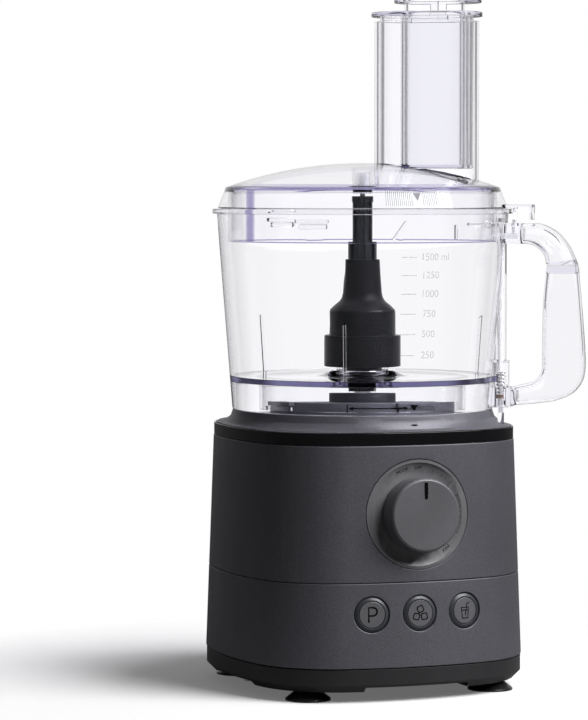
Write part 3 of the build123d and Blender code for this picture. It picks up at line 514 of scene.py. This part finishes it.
rodSpot = (outward * bowlForm["rod"])[:2]
bowlMesh = carve(
    lathe(bowlForm["profile"], bowlForm["steps"], bowlForm["edge"]),
    *[("UNION", sector(*bowlForm["lowLug"], a, edge=0.3)) for a in bowlForm["lowLugs"]],
    *[("UNION", slab(*bowlForm["rib"], radians(a), 0.2)) for a in bowlForm["ribs"]],
    *[("UNION", sector(*bowlForm["highLug"], a, edge=0.7)) for a in bowlForm["highLugs"]],
    ("UNION", column(*bowlForm["tube"], rodSpot, edge=0.3)),
    ("DIFFERENCE", column(*bowlForm["bore"], rodSpot)),
    ("DIFFERENCE", slab(*bowlForm["headRoom"])))
piece("clearBowl", bowlMesh, "bowl", "clear", "bowl")
print("bowl done")

# lid: dome, thin sloping side, inner skirt with lugs and bars, chute, bearing boss, lock tab and prong
lidForm = {
    "radius": 253.0, "crown": 327.6, "wall": 2.5, "shoulder": 86.1, "innerRim": 81.2, "edge": 0.5,
    "steps": 160, "arcSteps": (16, 14),
    "side": [(91.3, 299.3), (89.0, 299.3), (85.1, 309.2), (84.6, 309.2), (84.6, 278.5), (82.2, 278.5),
             (82.2, 310.4)],
    "chute": (66.0, 43.0, 41.0), "chuteWall": 2.4, "chuteRise": (311.0, 416.0), "chuteCut": (300.0, 430.0),
    "boss": (6.6, 308.6, 326.0), "pinHole": (4.02, 308.0, 322.2),
    "lugs": (-133, -13, 107), "lug": (287.0, 290.2, 83.2, 87.0, 12.0),
    "bars": ((-94.5, 291.9, -100.1, 280.4), (-71.0, 289.5, -71.0, 281.0)),
    "tab": ([(89.6, 299.5), (96, 299.5), (96, 296.8), (107, 296.8), (107, 292.4), (108.8, 292.4),
             (108.8, 301.8), (88.6, 301.8)], 6.0),
    "tabCut": ([(97.4, 296.0), (107.1, 296.0), (107.1, 300.0), (97.4, 300.0)], 4.4),
    "prong": ([(96.4, 300.4), (96.4, 292.9), (98.8, 292.9), (98.8, 300.4)], 2.0)}


def domeArc(radius, rim, steps):
    centre = lidForm["crown"] - lidForm["radius"]
    return [(rim * k / steps, centre + sqrt(radius ** 2 - (rim * k / steps) ** 2)) for k in range(steps + 1)]


outerSteps, innerSteps = lidForm["arcSteps"]
lidProfile = (domeArc(lidForm["radius"], lidForm["shoulder"], outerSteps) + lidForm["side"]
              + domeArc(lidForm["radius"] - lidForm["wall"], lidForm["innerRim"], innerSteps)[::-1])
chuteLong, chuteWide, chuteReach = lidForm["chute"]
chuteThin = 2 * lidForm["chuteWall"]
lidMesh = carve(
    lathe(lidProfile, lidForm["steps"], lidForm["edge"], closed=False),
    ("UNION", oval(chuteLong, chuteWide, chuteReach, *lidForm["chuteRise"], 0.6)),
    ("UNION", column(*lidForm["boss"], edge=0.4)),
    *[("UNION", sector(*lidForm["lug"], a, edge=0.8)) for a in lidForm["lugs"]],
    *[("UNION", bar(*ends)) for ends in lidForm["bars"]],
    ("DIFFERENCE", oval(chuteLong - chuteThin, chuteWide - chuteThin, chuteReach, *lidForm["chuteCut"])),
    ("UNION", slab(*lidForm["tab"], edge=0.4)),
    ("DIFFERENCE", slab(*lidForm["tabCut"])),
    ("UNION", slab(*lidForm["prong"])),
    ("DIFFERENCE", column(*lidForm["pinHole"])))

# painted violet edge tint where the shoulder, the skirt's lower edge and a lock block are seen along their length,
# in metres
lidTint = {
    "shoulderLow": (0.3098, 0.3103), "shoulderHigh": (0.3129, 0.3124), "shoulderReach": 0.078,
    "stripTurn": -167.0, "stripSquare": (16e-6, 13e-6), "stripSide": 0.07, "stripReach": 0.0852,
    "stripTop": (0.3115, 0.3105), "hem": (0.2794, 0.2791), "hemReach": 0.0855}


# mask for the painted violet edge tint on the lid
def lidPaintedEdgeMask(f):
    spot = f.place()
    height = f.dot(spot, upward)
    reach = f.reach()
    shoulder = f.between(height, *lidTint["shoulderLow"]) * f.between(height, *lidTint["shoulderHigh"])
    shoulder = shoulder * (reach > lidTint["shoulderReach"])
    turn = radians(lidTint["stripTurn"])
    across = f.dot(spot, (-sin(turn), cos(turn), 0.0))
    along = f.dot(spot, (cos(turn), sin(turn), 0.0))
    strip = f.between(across * across, *lidTint["stripSquare"]) * (along > lidTint["stripSide"])
    strip = strip * (reach < lidTint["stripReach"]) * f.between(height, *lidTint["stripTop"])
    hem = f.between(height, *lidTint["hem"]) * (reach < lidTint["hemReach"])
    return f.between(shoulder + strip + hem, 0.0, 1.0)


piece("clearLid", lidMesh, "lid", "clear", "lid", finish=clearPlastic("lidPlastic", clearLook, lidPaintedEdgeMask))
print("lid done")

# nested pushers: length, width and reach of each oval, then its heights; thin is both walls together
largeForm = {
    "body": (58.8, 36.2, 41.0), "rise": (324.0, 419.4), "thin": 4.4, "cut": (326.2, 425.0),
    "sleeve": (43.0, 30.0, 46.0), "sleeveThin": 4.0, "sleeveCut": (320.0, 430.0),
    "flange": (70.0, 46.0, 41.0, 418.6, 421.5), "rests": (19.0, 55.0), "restBeside": 18.9,
    "rest": (416.1, 419.0, 6.0, 4.4)}
bodyLong, bodyWide, bodyReach = largeForm["body"]
sleeveLong, sleeveWide, sleeveReach = largeForm["sleeve"]
largeThin, sleeveThin = largeForm["thin"], largeForm["sleeveThin"]
largeMesh = carve(
    oval(*largeForm["body"], *largeForm["rise"], 0.8),
    ("DIFFERENCE", oval(bodyLong - largeThin, bodyWide - largeThin, bodyReach, *largeForm["cut"])),
    ("UNION", oval(*largeForm["sleeve"], *largeForm["rise"])),
    ("UNION", oval(*largeForm["flange"], 0.6)),
    ("DIFFERENCE", oval(sleeveLong - sleeveThin, sleeveWide - sleeveThin, sleeveReach, *largeForm["sleeveCut"])),
    *[("UNION", block(reach, way * largeForm["restBeside"], *largeForm["rest"]))
      for reach in largeForm["rests"] for way in (-1, 1)])
piece("clearLargePusher", largeMesh, "large_pusher", "clear", "large_pusher")
smallForm = {"body": (38.0, 25.0, 46.0), "rise": (324.5, 428.4), "thin": 4.0, "cut": (326.5, 440.0),
             "flange": (55.0, 39.0, 48.0, 427.2, 430.0), "restBeside": 13.6, "rest": (421.6, 427.4, 10.0, 4.0)}
bodyLong, bodyWide, bodyReach = smallForm["body"]
smallThin = smallForm["thin"]
smallMesh = carve(
    oval(*smallForm["body"], *smallForm["rise"], 0.8),
    ("UNION", oval(*smallForm["flange"], 0.6)),
    ("DIFFERENCE", oval(bodyLong - smallThin, bodyWide - smallThin, bodyReach, *smallForm["cut"])),
    *[("UNION", block(bodyReach, way * smallForm["restBeside"], *smallForm["rest"], 0.4)) for way in (-1, 1)])
piece("clearSmallPusher", smallMesh, "small_pusher", "clear", "small_pusher")
print("pushers done")

# handle: rounded hollow sections run smoothly through stations given as inner and outer edge, in reach and height
handleForm = {
    "depth": 22.0, "wall": 2.3, "deepWall": 1.6, "square": 2.9, "round": 64, "steps": 8,
    "endLeast": 50.0, "endRound": 0.7,
    "grip": [(117.6, 264, 137, 264), (115.7, 243, 138.9, 243), (115, 217, 141, 217)],
    "gripBend": ((104, 201.5), 11.0, {0: 37.6, -15: 37, -30: 34.2, -48: 29, -66: 25.2, -80: 24.2}),
    "foot": (96.3, 188.5, 96.3, 176.7),
    "elbow": (102.2, 277.3, 102.2, 289.9),
    "elbowBend": ((104.5, 264.5), 12.8, {90: 25.5, 68: 27.1, 45: 28.2, 22: 29.4, 0: 32.4})}


def fan(centre, inner, reaches):
    return [(centre[0] + inner * cos(radians(a)), centre[1] + inner * sin(radians(a)),
             centre[0] + outer * cos(radians(a)), centre[1] + outer * sin(radians(a)))
            for a, outer in reaches.items()]


# cubic curve through rows of numbers
def smoothed(rows, steps):
    rows = [Vector(row) for row in rows]
    ends = [rows[0] * 2 - rows[1]] + rows + [rows[-1] * 2 - rows[-2]]
    fine = []
    for a, b, c, d in zip(ends, ends[1:], ends[2:], ends[3:]):
        for k in range(steps):
            t = k / steps
            fine.append(b + (c - a) * t / 2 + (a - b * 2.5 + c * 2 - d / 2) * t ** 2
                        + ((b - c) * 1.5 + (d - a) / 2) * t ** 3)
    return fine + [rows[-1]]


def tubeShell(stations, shrink, inward):
    bm = bmesh.new()
    rings = []
    for innerReach, innerHeight, outerReach, outerHeight in stations:
        near = outward * innerReach + upward * innerHeight
        far = outward * outerReach + upward * outerHeight
        across = (far - near).normalized()
        middle = (near + far) / 2
        halfWide = (far - near).length / 2 - shrink
        halfDeep = handleForm["depth"] / 2 - shrink * handleForm["deepWall"]
        ring = bmesh.ops.create_circle(bm, segments=handleForm["round"], radius=1.0)["verts"]
        for v in ring:
            x, y = (copysign(abs(c) ** (2 / handleForm["square"]), c) for c in v.co[:2])
            v.co = (middle + across * x * halfWide + aside * y * halfDeep) * mm
        rings.append(list({e for v in ring for e in v.link_edges}))
    for first, second in zip(rings, rings[1:]):
        bmesh.ops.bridge_loops(bm, edges=first + second)
    bmesh.ops.contextual_create(bm, geom=rings[0])
    bmesh.ops.contextual_create(bm, geom=rings[-1])
    bmesh.ops.recalc_face_normals(bm, faces=bm.faces[:])
    if inward:
        bmesh.ops.reverse_faces(bm, faces=bm.faces[:])
    return bm


def handlePiece(name, stations, body, node, *cuts):
    whole = tubeShell(stations, 0.0, False)
    ends = [e for e in whole.edges if e.calc_face_angle() > radians(handleForm["endLeast"])]
    roundOff(whole, ends, handleForm["endRound"], 3)
    whole = carve(whole, *cuts) if cuts else whole
    join(whole, tubeShell(stations[2:-2], handleForm["wall"], True))
    return piece(name, whole, body, "clear", node, crease=40.0)


gripRows = smoothed(handleForm["grip"] + fan(*handleForm["gripBend"]) + [handleForm["foot"]], handleForm["steps"])
handlePiece("clearGrip", gripRows, "bowl", "handle_grip")
elbowRows = smoothed([handleForm["elbow"]] + fan(*handleForm["elbowBend"]), handleForm["steps"])
# dish for the thumb on the elbow
padForm = {"reach": 123.2, "height": 283.2, "beside": 12.1, "turn": -45.0, "radii": (7.5, 3.2, 13.5)}
padSpot = outward * padForm["reach"] + upward * padForm["height"] - aside * padForm["beside"]
padTurn = Matrix.Rotation(handleTurn, 4, "Z") @ Matrix.Rotation(radians(padForm["turn"]), 4, "Y")
thumbPad = bmesh.new()
bmesh.ops.create_uvsphere(thumbPad, u_segments=64, v_segments=32, radius=1.0,
                          matrix=Matrix.Translation(padSpot * mm) @ padTurn @ sized(*padForm["radii"]))
handlePiece("clearElbow", elbowRows, "bowl", "handle_elbow", ("DIFFERENCE", thumbPad))
print("handle done")

# return spring round the rod: a circle spun along its rise
springForm = {"wire": 0.42, "sides": 14, "coil": 2.55, "turns": 6, "low": 183.72, "high": 196.88, "steps": 36}
springSteps = springForm["turns"] * springForm["steps"]
springRise = (springForm["high"] - springForm["low"]) * mm / springSteps
springMesh = bmesh.new()
wire = bmesh.ops.create_circle(
    springMesh, cap_ends=True, segments=springForm["sides"], radius=springForm["wire"] * mm,
    matrix=Matrix.Translation((springForm["coil"] * mm, 0, 0)) @ Matrix.Rotation(pi / 2, 4, "X"))
wireEdges = list({e for v in wire["verts"] for e in v.link_edges})
spun = bmesh.ops.spin(springMesh, geom=wire["verts"] + wireEdges, cent=(0, 0, 0), axis=(0, 0, 1),
                      dvec=(0, 0, springRise), angle=2 * pi * springForm["turns"], steps=springSteps)
bmesh.ops.contextual_create(springMesh, geom=only(bmesh.types.BMEdge, spun["geom_last"]))
bmesh.ops.translate(springMesh, verts=springMesh.verts[:], vec=Vector((*rodSpot, springForm["low"])) * mm)
springEnds = [Vector((*rodSpot, springForm[end])) * mm for end in ("low", "high")]
piece("returnSpring", settle(springMesh), "bowl", "steel", "interlock_spring", crease=60.0,
      stretch=("interlock_rod", *springEnds))

# tool hub: stepped collar, sloping shoulder and slim neck, with the driver's six-sided pocket
hubForm = {
    "profile": [(0, 193), (12.4, 193), (12.4, 217), (17.2, 217), (17.2, 200), (24.1, 200), (24.1, 219.6),
                (20.9, 219.6), (20.8, 234.2), (20.3, 235.8), (17.4, 238.6), (14.5, 240.9), (13.0, 243.2),
                (12.3, 246.2), (11.9, 251), (11.3, 259), (10.9, 267.3), (0, 267.3)],
    "edge": 0.5, "steps": 96, "driver": 9.75, "pocketMiddle": 202.25, "pocketDepth": 20.5,
    "postHole": (6.02, 250.0, 270.0)}
pocket = bmesh.new()
bmesh.ops.create_cone(
    pocket, cap_ends=True, segments=6, radius1=hubForm["driver"] * mm, radius2=hubForm["driver"] * mm,
    depth=hubForm["pocketDepth"] * mm,
    matrix=Matrix.Translation((0, 0, hubForm["pocketMiddle"] * mm)) @ Matrix.Rotation(pi / 6, 4, "Z"))
hubMesh = carve(
    lathe(hubForm["profile"], hubForm["steps"], hubForm["edge"], closed=False),
    ("DIFFERENCE", pocket), ("DIFFERENCE", column(*hubForm["postHole"])))
piece("toolHub", hubMesh, "output", "black_plastic", "tool_hub")
print("spring and hub done")

inkLift = 0.03
inkDepth = 0.03
inkBody = 0.02
fontShare = 1.4


# flat words and strokes, turned to mesh and laid on a surface by a mapping of (x, y)
def laid(curve, mapping, name, body, slotName, ink):
    flat = bpy.data.objects.new("flatCurve", curve)
    scene.collection.objects.link(flat)
    data = bpy.data.meshes.new_from_object(flat.evaluated_get(bpy.context.evaluated_depsgraph_get()))
    bm = bmesh.new()
    bm.from_mesh(data)
    bpy.data.objects.remove(flat)
    bpy.data.curves.remove(curve)
    bpy.data.meshes.remove(data)
    bmesh.ops.triangulate(bm, faces=bm.faces[:])
    for v in bm.verts:
        v.co = mapping(v.co.x, v.co.y, v.co.z)
    return piece(name, bm, body, slotName, finish=inks[ink])


def newCurve(kind, **settings):
    return setAll(bpy.data.curves.new("mark", kind), settings)


def word(text, height):
    return newCurve("FONT", body=text, size=height * fontShare, align_x="CENTER", align_y="CENTER", extrude=inkBody)


def addLines(curve, lines, closed):
    for points in lines:
        line = curve.splines.new("POLY")
        line.points.add(len(points) - 1)
        for spot, (x, y) in zip(line.points, points):
            spot.co = (x, y, 0, 1)
        line.use_cyclic_u = closed
    return curve


def strokes(lines, width, closed=True):
    return addLines(newCurve("CURVE", dimensions="3D", bevel_depth=width / 2, bevel_resolution=2), lines, closed)


def filled(lines):
    return addLines(newCurve("CURVE", dimensions="2D", fill_mode="BOTH", extrude=inkBody), lines, True)


def level(start, step, count):
    return [(start + step * k, 0) for k in range(count)]


def pointDown(half, tall):
    return [(-half, tall), (half, tall), (0, -tall)]


def clamped(z, depth):
    return max(-depth, min(depth, z))


# flat ground of a plane, and round ground of a cone about the drive axis
def onPlane(origin, normal, lift):
    wide = upward.cross(normal).normalized()
    high = normal.cross(wide)
    return lambda x, y, z: (origin + wide * x + high * y + normal * (lift + clamped(z, inkDepth))) * mm


def onRound(middle, height, radiusAt, lift, depth=inkDepth):
    def mapped(x, y, z):
        radius = radiusAt(height + y) + lift + clamped(z, depth)
        turn = radians(middle) + x / radiusAt(height)
        return Vector((radius * cos(turn), radius * sin(turn), height + y)) * mm
    return mapped


# button rings: convex, falling away from the cap's edge
buttonForm = {
    "height": 54.0, "sideCentre": 110.0, "reach": 202.14, "turn": 8.736, "draft": 2.121, "face": 0.2,
    "ring": [(8.3, -3.0), (10.7, -3.0), (10.7, -1.1), (10.3, -0.8), (8.9, 0.05), (8.3, 0.05)],
    "ringSteps": 64, "ringEdge": 0.2}


def buttonPlace(turn):
    flat = Vector((sin(radians(turn)), -cos(radians(turn)), 0))
    draft = radians(buttonForm["draft"])
    normal = (flat * cos(draft) + upward * sin(draft)).normalized()
    return Vector((0, buttonForm["sideCentre"], buttonForm["height"])) + flat * buttonForm["reach"], normal


ringMesh = bmesh.new()
for turn in (-buttonForm["turn"], 0.0, buttonForm["turn"]):
    origin, normal = buttonPlace(turn)
    one = lathe(buttonForm["ring"], buttonForm["ringSteps"], buttonForm["ringEdge"])
    facing = normal.to_track_quat("Z", "Y").to_matrix().to_4x4()
    bmesh.ops.transform(one, verts=one.verts[:], matrix=Matrix.Translation(origin * mm) @ facing)
    join(ringMesh, one)
piece("buttonRings", ringMesh, "base", "ring_grey", "button_rings", crease=40.0)

# button signs: a letter, three ice cubes, a glass with a straw
signForm = {
    "bow": (0.6, 1.9, 2.5), "stem": -2.1, "cubeSize": 1.85,
    "cubes": ((-2.5, -2.0, -14), (2.6, -2.0, 10), (0.1, 2.5, 22)),
    "corners": ((-1, -0.7), (-0.7, -1), (0.7, -1), (1, -0.7), (1, 0.7), (0.7, 1), (-0.7, 1), (-1, 0.7)),
    "glass": [(-2.6, 1.9), (2.6, 1.9), (1.9, -4.6), (-1.9, -4.6)],
    "straw": [[(0.2, -3.0), (1.5, 4.2), (3.4, 4.9)], [(-2.2, 0.2), (2.2, 0.2)]],
    "letterLine": 1.05, "line": 0.8, "strawLine": 0.65}


def buttonGround(turn):
    return onPlane(*buttonPlace(turn), buttonForm["face"] + inkLift)


def cube(x, y, turn):
    c, s, size = cos(radians(turn)), sin(radians(turn)), signForm["cubeSize"]
    return [(x + size * (a * c - b * s), y + size * (a * s + b * c)) for a, b in signForm["corners"]]


bowX, bowY, bowRadius = signForm["bow"]
bow = [(bowX + bowRadius * cos(radians(a)), bowY + bowRadius * sin(radians(a))) for a in range(90, -91, -15)]
letter = [(signForm["stem"], -4.6), (signForm["stem"], 4.4)] + bow + [(signForm["stem"], -0.6)]
cubes = [cube(*spot) for spot in signForm["cubes"]]
signs = (("signPulse", "pulse_button", -1, strokes([letter], signForm["letterLine"], False)),
         ("signIce", "ice_button", 0, strokes(cubes, signForm["line"])),
         ("signGlass", "drink_button", 1, strokes([signForm["glass"]], signForm["line"])),
         ("signStraw", "drink_button", 1, strokes(signForm["straw"], signForm["strawLine"], False)))
for name, body, way, mark in signs:
    laid(mark, buttonGround(way * buttonForm["turn"]), name, body, "knob_grey", "black")

# words and scale on the dial's dished ring
dialForm = {
    "origin": Vector((0, -89.917, 114.0)), "draft": 2.121, "ring": 28.4, "inner": (25.0, -4.2),
    "outer": (31.6, -1.2), "lift": 0.05, "depth": 0.02, "letters": 2.0,
    "words": (("MODE", -20.0), ("OFF", 2.0), ("MAX", 139.0)),
    "ticks": 15, "tickStep": 3.3, "tickHalf": 0.5, "tickGrowth": 0.03, "tickLine": 0.2, "tickStart": 22.0}
dialNormal = Vector((0, -cos(radians(dialForm["draft"])), sin(radians(dialForm["draft"]))))
dialHigh = dialNormal.cross(Vector((1, 0, 0)))


def onDial(angle):
    (innerReach, innerDepth), (outerReach, outerDepth) = dialForm["inner"], dialForm["outer"]

    def mapped(x, y, z):
        reach = dialForm["ring"] + y
        turn = radians(angle) + x / dialForm["ring"]
        depth = innerDepth + (reach - innerReach) / (outerReach - innerReach) * (outerDepth - innerDepth)
        return (dialForm["origin"] + (Vector((1, 0, 0)) * sin(turn) + dialHigh * cos(turn)) * reach
                + dialNormal * (depth + dialForm["lift"] + clamped(z, dialForm["depth"]))) * mm
    return mapped


for label, angle in dialForm["words"]:
    laid(word(label, dialForm["letters"]), onDial(angle), "dial" + label.title(), "base", "knob_grey", "black")
tickSpots = [(k * dialForm["tickStep"], dialForm["tickHalf"] + dialForm["tickGrowth"] * k)
             for k in range(dialForm["ticks"])]
laid(strokes([[(x, -half), (x, half)] for x, half in tickSpots], dialForm["tickLine"], False),
     onDial(dialForm["tickStart"]), "dialScale", "base", "knob_grey", "black")

# knob pointer, a dark slot with a round end
pointerForm = {"face": 11.8, "low": 9.6, "high": 19.7, "half": 1.05}
pointerHalf = pointerForm["half"]
pointerShape = [
    (pointerHalf * cos(radians(a)), pointerForm["low"] + pointerHalf * (1 + sin(radians(a))))
    for a in range(180, 361, 15)]
pointerShape += [(pointerHalf, pointerForm["high"]), (-pointerHalf, pointerForm["high"])]
laid(filled([pointerShape]), onPlane(dialForm["origin"], dialNormal, pointerForm["face"] + inkLift),
     "pointerSlot", "knob", "pointer", "black")
print("dial and buttons marked")

# volume scale on the bowl's wall; the top figure stands aside for its unit
scaleForm = {
    "marks": (("1500 ml", 270.1), ("1250", 259.1), ("1000", 247.7), ("750", 235.6), ("500", 223.2),
              ("250", 210.4)),
    "words": -84.8, "unitShift": 1.9, "height": 4.4, "ticks": -94.0,
    "tick": [(-5.0, 0), (-1.7, 0), (1.7, 0), (5.0, 0)], "line": 0.5}
for text, height in scaleForm["marks"]:
    figure = text.split()[0]
    wordTurn = scaleForm["words"] + (0.0 if text == figure else scaleForm["unitShift"])
    laid(word(text, scaleForm["height"]), onRound(wordTurn, height, bowlOuter, inkLift),
         "scale" + figure, "bowl", "clear", "faint")
    laid(strokes([scaleForm["tick"]], scaleForm["line"], False),
         onRound(scaleForm["ticks"], height, bowlOuter, inkLift), "tick" + figure, "bowl", "clear", "faint")

# twist sign on the bowl's foot: triangle, line with two heads, end stroke
turnForm = {
    "turn": -90.0, "height": 178.2, "triangle": (2.75, 1.95), "run": (-4.4, -3.2, 12), "line": 0.75,
    "heads": [[(-3.8, 0), (-6.6, 1.2), (-6.6, -1.2)], [(-40.8, 0), (-38.0, 1.2), (-38.0, -1.2)]],
    "end": [(-41.6, -2.6), (-41.6, 2.6)]}
turnGround = onRound(turnForm["turn"], turnForm["height"], bowlOuter, inkLift)
turnMarks = {
    "turnArrow": filled([pointDown(*turnForm["triangle"])]),
    "turnLine": strokes([level(*turnForm["run"])], turnForm["line"], False),
    "turnHeads": filled(turnForm["heads"]), "turnEnd": strokes([turnForm["end"]], turnForm["line"], False)}
for name, mark in turnMarks.items():
    laid(mark, turnGround, name, "bowl", "clear", "black")

# triangle and grip ribs on the lid's side; the ribs leave room for the triangle
ribForm = {
    "turn": -95.0, "height": 306.0, "count": 28, "step": 1.24, "start": -13.0, "gapMiddle": 6.8,
    "gapHalf": 3.4, "half": 4.8, "line": 0.5, "depth": 0.25, "arrow": (2.7, 2.7 * 0.85), "arrowTurn": -90.6,
    "arrowHeight": 306.6, "arrowLift": 0.04, "side": (86.1, 312.5), "slope": (13.2, 5.2)}


def lidSide(height):
    (topRadius, topHeight), (drop, spread) = ribForm["side"], ribForm["slope"]
    return topRadius + (topHeight - height) / drop * spread


laid(filled([pointDown(*ribForm["arrow"])]),
     onRound(ribForm["arrowTurn"], ribForm["arrowHeight"], lidSide, ribForm["arrowLift"]),
     "lidArrow", "lid", "clear", "grey")
ribRows = [x for x in (ribForm["step"] * k + ribForm["start"] for k in range(ribForm["count"]))
           if abs(x - ribForm["gapMiddle"]) > ribForm["gapHalf"]]
laid(strokes([[(x, -ribForm["half"]), (x, 0), (x, ribForm["half"])] for x in ribRows], ribForm["line"], False),
     onRound(ribForm["turn"], ribForm["height"], lidSide, 0.0, ribForm["depth"]),
     "gripRibs", "lid", "clear", "faint")

# lock arrow under the rim, and the small mark on the collar
lockForm = {"turn": -62.5, "height": 290.0, "head": [(-9.6, 0), (-7.4, 1.3), (-7.4, -1.3)], "run": (-7.6, 2.4, 7),
            "line": 0.45}
lockGround = onRound(lockForm["turn"], lockForm["height"], bowlOuter, inkLift)
laid(filled([lockForm["head"]]), lockGround, "lockHead", "bowl", "clear", "grey")
laid(strokes([level(*lockForm["run"])], lockForm["line"], False), lockGround, "lockLine", "bowl", "clear", "grey")
markForm = {"long": 2.2, "tall": 0.65, "origin": Vector((0, -82.95, 167.8)), "normal": Vector((0, -0.856, 0.517)),
            "lift": 0.05}
lens = [(markForm["long"] * cos(radians(a)), markForm["tall"] * sin(radians(a))) for a in range(0, 360, 15)]
laid(filled([lens]), onPlane(markForm["origin"], markForm["normal"].normalized(), markForm["lift"]),
     "deckMark", "base", "charcoal", "black")
print("scale and lock signs done")

# four cross-slot screws under the cover
screwForm = {"spots": ((85.3, 24.0), (85.3, -24.0), (-85.3, 24.0), (-85.3, -24.0)), "head": (3.0, 8.0, 9.7),
             "edge": 0.5, "slotRise": (7.0, 8.9), "slotLong": 4.2, "slotWide": 0.8}
slotSizes = (screwForm["slotLong"], screwForm["slotWide"])
oneScrew = carve(
    column(*screwForm["head"], edge=screwForm["edge"]),
    *[("DIFFERENCE", block(0, 0, *screwForm["slotRise"], *sizes))
      for sizes in (slotSizes, slotSizes[::-1])])
screwMesh = bmesh.new()
for spot in screwForm["spots"]:
    one = oneScrew.copy()
    bmesh.ops.translate(one, verts=one.verts[:], vec=Vector((*spot, 0)) * mm)
    join(screwMesh, one)
oneScrew.free()
piece("baseScrews", screwMesh, "base", "steel")
print("screws done")

# studio: pale floor, white surround, one large soft lamp from the right and a weak fill; places are to the
# camera's right, away from it and up
studio = {
    "viewTurn": -22.51, "key": 92.0, "keySize": 1.7, "keyPlace": (1.54, -0.86, 1.78), "keyAim": (0, 0, 0.15),
    "fill": 0.35, "fillSize": 1.2, "fillPlace": (-1.6, -1.3, 0.9), "fillAim": (0, 0, 0.2),
    "ambient": 0.09, "through": 1.08, "cards": 0.74, "cornerCards": (0.165, 0.225), "sideCards": (0.91, 0.97),
    "glossFront": (-0.5, 0.0, 0.06, 0.11), "glossBack": (0.5, 0.95, 0.0, 0.7),
    "floor": (0.97, 0.97, 0.975), "floorBounce": (0.32, 0.32, 0.325), "floorSize": 14.0,
    "floorFar": 0.08, "floorLift": 0.13, "floorFade": (0.15, 0.34)}
viewTurn = radians(studio["viewTurn"])
ahead = Vector((-sin(viewTurn), cos(viewTurn), 0))
right = Vector((cos(viewTurn), sin(viewTurn), 0))


def softLamp(name, key):
    beside, away, high = studio[key + "Place"]
    place = right * beside + ahead * away + upward * high
    lamp = setAll(bpy.data.lights.new(name, "AREA"),
                  {"shape": "DISK", "size": studio[key + "Size"], "energy": studio[key]})
    holder = bpy.data.objects.new(name, lamp)
    holder.location = place
    holder.rotation_euler = (Vector(studio[key + "Aim"]) - place).to_track_quat("-Z", "Y").to_euler()
    scene.collection.objects.link(holder)


softLamp("keyLamp", "key")
softLamp("fillLamp", "fill")

# the surround is white for the camera and through clear walls, with grey cards at the sides, and dark in front
sky = bpy.data.worlds.new("studioSurround")
scene.world = sky
sky.use_nodes = True
surround = Finish("", sky.node_tree)
heading = surround.add("ShaderNodeTexCoord", out="Generated")
forward = surround.dot(heading, ahead)
sideways = surround.dot(heading, right)
diagonal = forward * sideways * forward * sideways
cards = (surround.between(diagonal, *studio["cornerCards"])
         + surround.between(sideways * sideways, *studio["sideCards"]))
through = studio["through"] * (1.0 - studio["cards"] * cards)
gloss = surround.between(forward, *studio["glossFront"]) + surround.between(forward, *studio["glossBack"])
seen = surround.path("Is Camera Ray")
bounced = surround.path("Is Glossy Ray")
passed = surround.path("Is Transmission Ray")
dim = bounced * gloss + (1.0 - bounced) * studio["ambient"]
strength = seen + (1.0 - seen) * (passed * through + (1.0 - passed) * dim)
surround.add("ShaderNodeOutputWorld", None, {"Surface": surround.add(
    "ShaderNodeBackground", None, {"Color": (1, 1, 1), "Strength": strength})})

# paper floor, fading to white away from the object
floorMesh = bmesh.new()
bmesh.ops.create_grid(floorMesh, x_segments=2, y_segments=2, size=studio["floorSize"])
floor = asObject(floorMesh, "studioFloor")
paper = Finish("floorPaper")
spread = paper.add("ShaderNodeVectorMath", {"operation": "LENGTH"}, {0: paper.place()}, out="Value")
shown = paper.between(paper.path("Is Camera Ray") + paper.path("Is Transmission Ray"), 0.0, 1.0)
matt = paper.add("ShaderNodeBsdfDiffuse", None, {"Color": paper.mix(shown, studio["floorBounce"], studio["floor"])})
glowLevel = paper.between(shown, 0.0, 1.0, studio["floorFar"], 1.0)
glow = paper.add("ShaderNodeEmission", None, {"Color": (1, 1, 1), "Strength": glowLevel})
fade = paper.between(spread, *studio["floorFade"], studio["floorLift"], 1.0)
floor.data.materials.append(paper.done(paper.blend(fade, matt, glow)))

# the photograph's camera, and enough bounces for nested clear walls
cameraForm = {"lens": 170.0, "far": 60.0, "back": 2.142, "height": 0.3125, "down": 2.91, "aside": 1.154,
              "bounces": 28}
photoCamera = bpy.data.cameras.new("photoCamera")
photoCamera.lens = cameraForm["lens"]
photoCamera.clip_end = cameraForm["far"]
viewer = bpy.data.objects.new("photoCamera", photoCamera)
viewer.location = -ahead * cameraForm["back"] + upward * cameraForm["height"]
viewer.rotation_euler = (radians(90 - cameraForm["down"]), 0, viewTurn + radians(cameraForm["aside"]))
scene.collection.objects.link(viewer)
scene.camera = viewer
scene.view_settings.view_transform = "Standard"
for limit in ("max_bounces", "transmission_bounces", "transparent_max_bounces"):
    setattr(scene.cycles, limit, cameraForm["bounces"])
print("studio ready")
